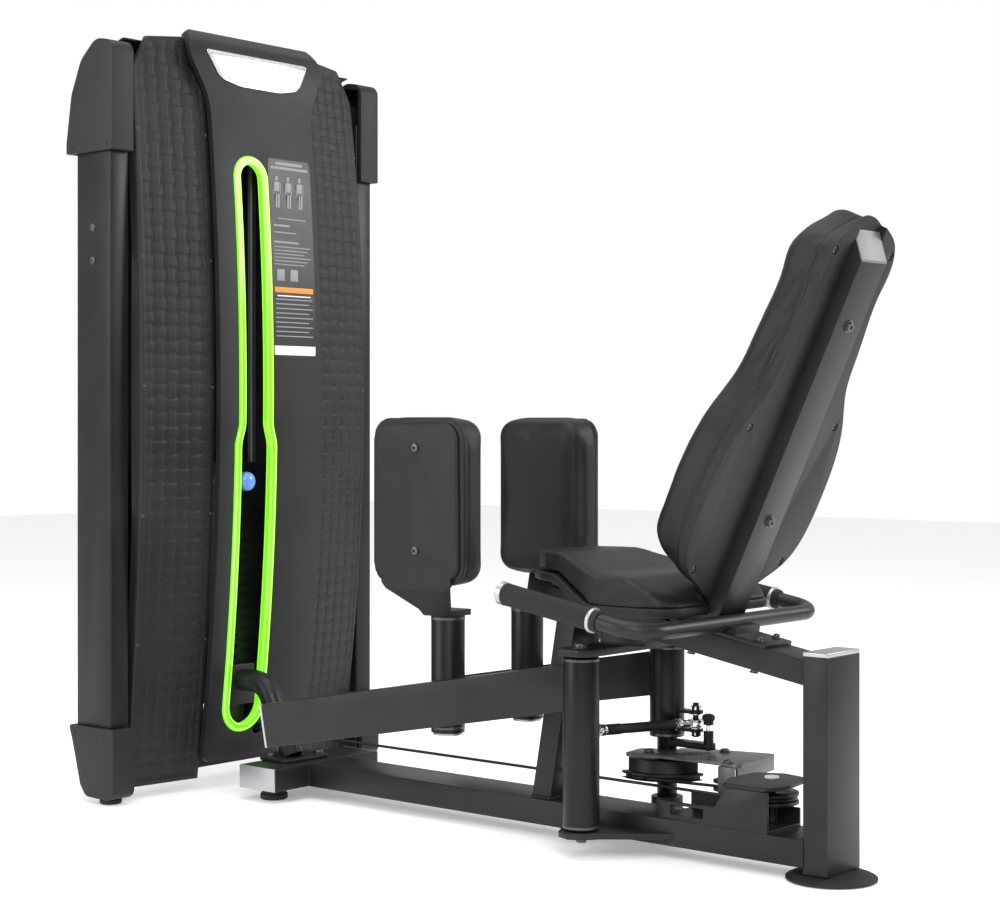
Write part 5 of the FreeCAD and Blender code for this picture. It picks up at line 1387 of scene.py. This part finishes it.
@dataclass
class Handles:
    """The bent handlebar with foam grips and silver ends."""

    lean: float = math.radians(10)

    def build(self) -> None:
        """Make the handlebar's visible pieces."""
        forward = Vector((-math.cos(self.lean), 0, math.sin(self.lean)))
        grips, rings, collars = [], [], []
        start = Vector((station(232), 0, 0.4498))
        for sign in (-1, 1):
            base = start + Vector((0, sign * 0.298, 0))
            sleeve = [(0.0152, 0), (0.0185, 0.0004), (0.0203, 0.003), (0.021, 0.009), (0.0207, 0.03),
                (0.0209, 0.1), (0.0207, 0.17), (0.021, 0.195), (0.0205, 0.203), (0.0185, 0.2056),
                (0.0152, 0.206)]
            grips.append(lathe("grip", sleeve, base + forward * 0.110, forward, 56))
            ring = [(0.0152, 0), (0.0222, 0.0004), (0.023, 0.0016), (0.023, 0.0064), (0.0222, 0.0076),
                (0.0152, 0.008)]
            rings.append(lathe("grip_ring", ring, base + forward * 0.102, forward, 48))
            end = [(0.0205, 0), (0.022, 0.001), (0.022, 0.0105), (0.0205, 0.0123), (0.012, 0.013),
                (0.002, 0.013)]
            rings.append(lathe("grip_end", end, base + forward * 0.312, forward, 48))
            collar = [(0.0152, 0), (0.018, 0.0005), (0.0198, 0.003), (0.02, 0.007), (0.0195, 0.0095),
                (0.0152, 0.01)]
            collars.append(lathe("grip_collar", collar, base + forward * 0.092, forward, 48))
        dress(merge("foam_grips", grips), FOAM, "frame", ("hand_grips",))
        dress(merge("grip_ends", rings), SILVER, "frame", ("grip_rings",))
        dress(merge("grip_collars", collars), RUBBER, "frame")


@dataclass
class Studio:
    """Pale floor, soft light and the camera."""

    eye: Point = (REAR + 1.8556, -3.1505, 0.823)
    heading: float = math.radians(40.2)
    lens: float = 72.36

    def build(self) -> None:
        """Set the stage."""
        bpy.context.scene.view_settings.view_transform = "Standard"
        world = bpy.data.worlds.new("studio")
        bpy.context.scene.world = world
        world.use_nodes = True
        world.node_tree.nodes["Background"].inputs["Color"].default_value = (1, 1, 1, 1)
        tree = world.node_tree
        path = tree.nodes.new("ShaderNodeLightPath")
        level = tree.nodes.new("ShaderNodeMapRange")
        level.inputs["To Min"].default_value = 0.62
        level.inputs["To Max"].default_value = 1.0
        tree.links.new(path.outputs["Is Camera Ray"], level.inputs["Value"])
        tree.links.new(level.outputs["Result"], tree.nodes["Background"].inputs["Strength"])
        bpy.ops.object.select_all(action="DESELECT")
        bpy.ops.mesh.primitive_plane_add(size=24, location=(0, 0, -0.0015))
        floor = bpy.context.active_object
        floor.name = "studio_floor"
        mat = bpy.data.materials.new("studio_floor")
        mat.use_nodes = True
        shader = mat.node_tree.nodes["Principled BSDF"]
        shader.inputs["Base Color"].default_value = (0.93, 0.93, 0.93, 1)
        shader.inputs["Roughness"].default_value = 0.7
        shader.inputs["Emission Color"].default_value = (1, 1, 1, 1)
        shader.inputs["Emission Strength"].default_value = 0.3
        floor.data.materials.append(mat)
        self.lamp("key", (3.6, -3.4, 3.6), (0, 0, 0.7), 2.4, 150)
        self.lamp("left_wall", (-2.4, -4.6, 2.2), (-0.6, 0, 0.8), 2.6, 110)
        self.lamp("rim", (2.8, 3.4, 2.6), (0, 0, 0.8), 1.8, 90)
        self.lamp("overhead", (-0.2, -0.4, 4.2), (0, 0, 0), 3.2, 90)
        self.camera()

    def lamp(self, name: str, at: Point, target: Point, size: float, power: float) -> None:
        """A soft square lamp that faces a target."""
        data = bpy.data.lights.new(name, "AREA")
        data.size = size
        data.energy = power
        lamp = bpy.data.objects.new(name, data)
        bpy.context.scene.collection.objects.link(lamp)
        lamp.location = at
        lamp.rotation_euler = (Vector(target) - Vector(at)).to_track_quat("-Z", "Y").to_euler()

    def camera(self) -> None:
        """A level camera behind the machine's left side."""
        data = bpy.data.cameras.new("camera")
        data.lens = self.lens
        data.shift_y = -0.0295
        data.clip_end = 60
        cam = bpy.data.objects.new("camera", data)
        bpy.context.scene.collection.objects.link(cam)
        cam.location = self.eye
        look = Vector((-math.sin(self.heading), math.cos(self.heading), 0))
        cam.rotation_euler = look.to_track_quat("-Z", "Y").to_euler()
        bpy.context.scene.camera = cam


def finish_cad_nodes() -> None:
    """Give the CAD nodes that stay in view their materials."""
    plain: Dict[str, Finish] = {
        "drive_cable": CABLE, "lift_cable": CABLE, "cam_cable": CABLE, "guide_rods": DARK_STEEL,
        "handlebar": FRAME_COAT,
    }
    for node, obj in frame["nodes"].items():
        obj.data.materials.clear()
        obj.data.materials.append(plain.get(node, FRAME_COAT).material())
        shade_flat(obj)


def shade_flat(obj: bpy.types.Object) -> None:
    """Shade a CAD node flat; its points stay as they are."""
    for poly in obj.data.polygons:
        poly.use_smooth = False


def main() -> None:
    """Build every piece in order."""
    bpy.ops.object.select_all(action="DESELECT")
    finish_cad_nodes()
    Studio().build()
    bolts = BoltMaker()
    for assembly in (Tower(bolts), BaseFrame(bolts), Drive(bolts), Arms(), Pads(bolts), SeatAndBack(bolts),
        Handles()):
        assembly.build()
        log.info("%s done", type(assembly).__name__)


if __name__ == "__main__":
    main()
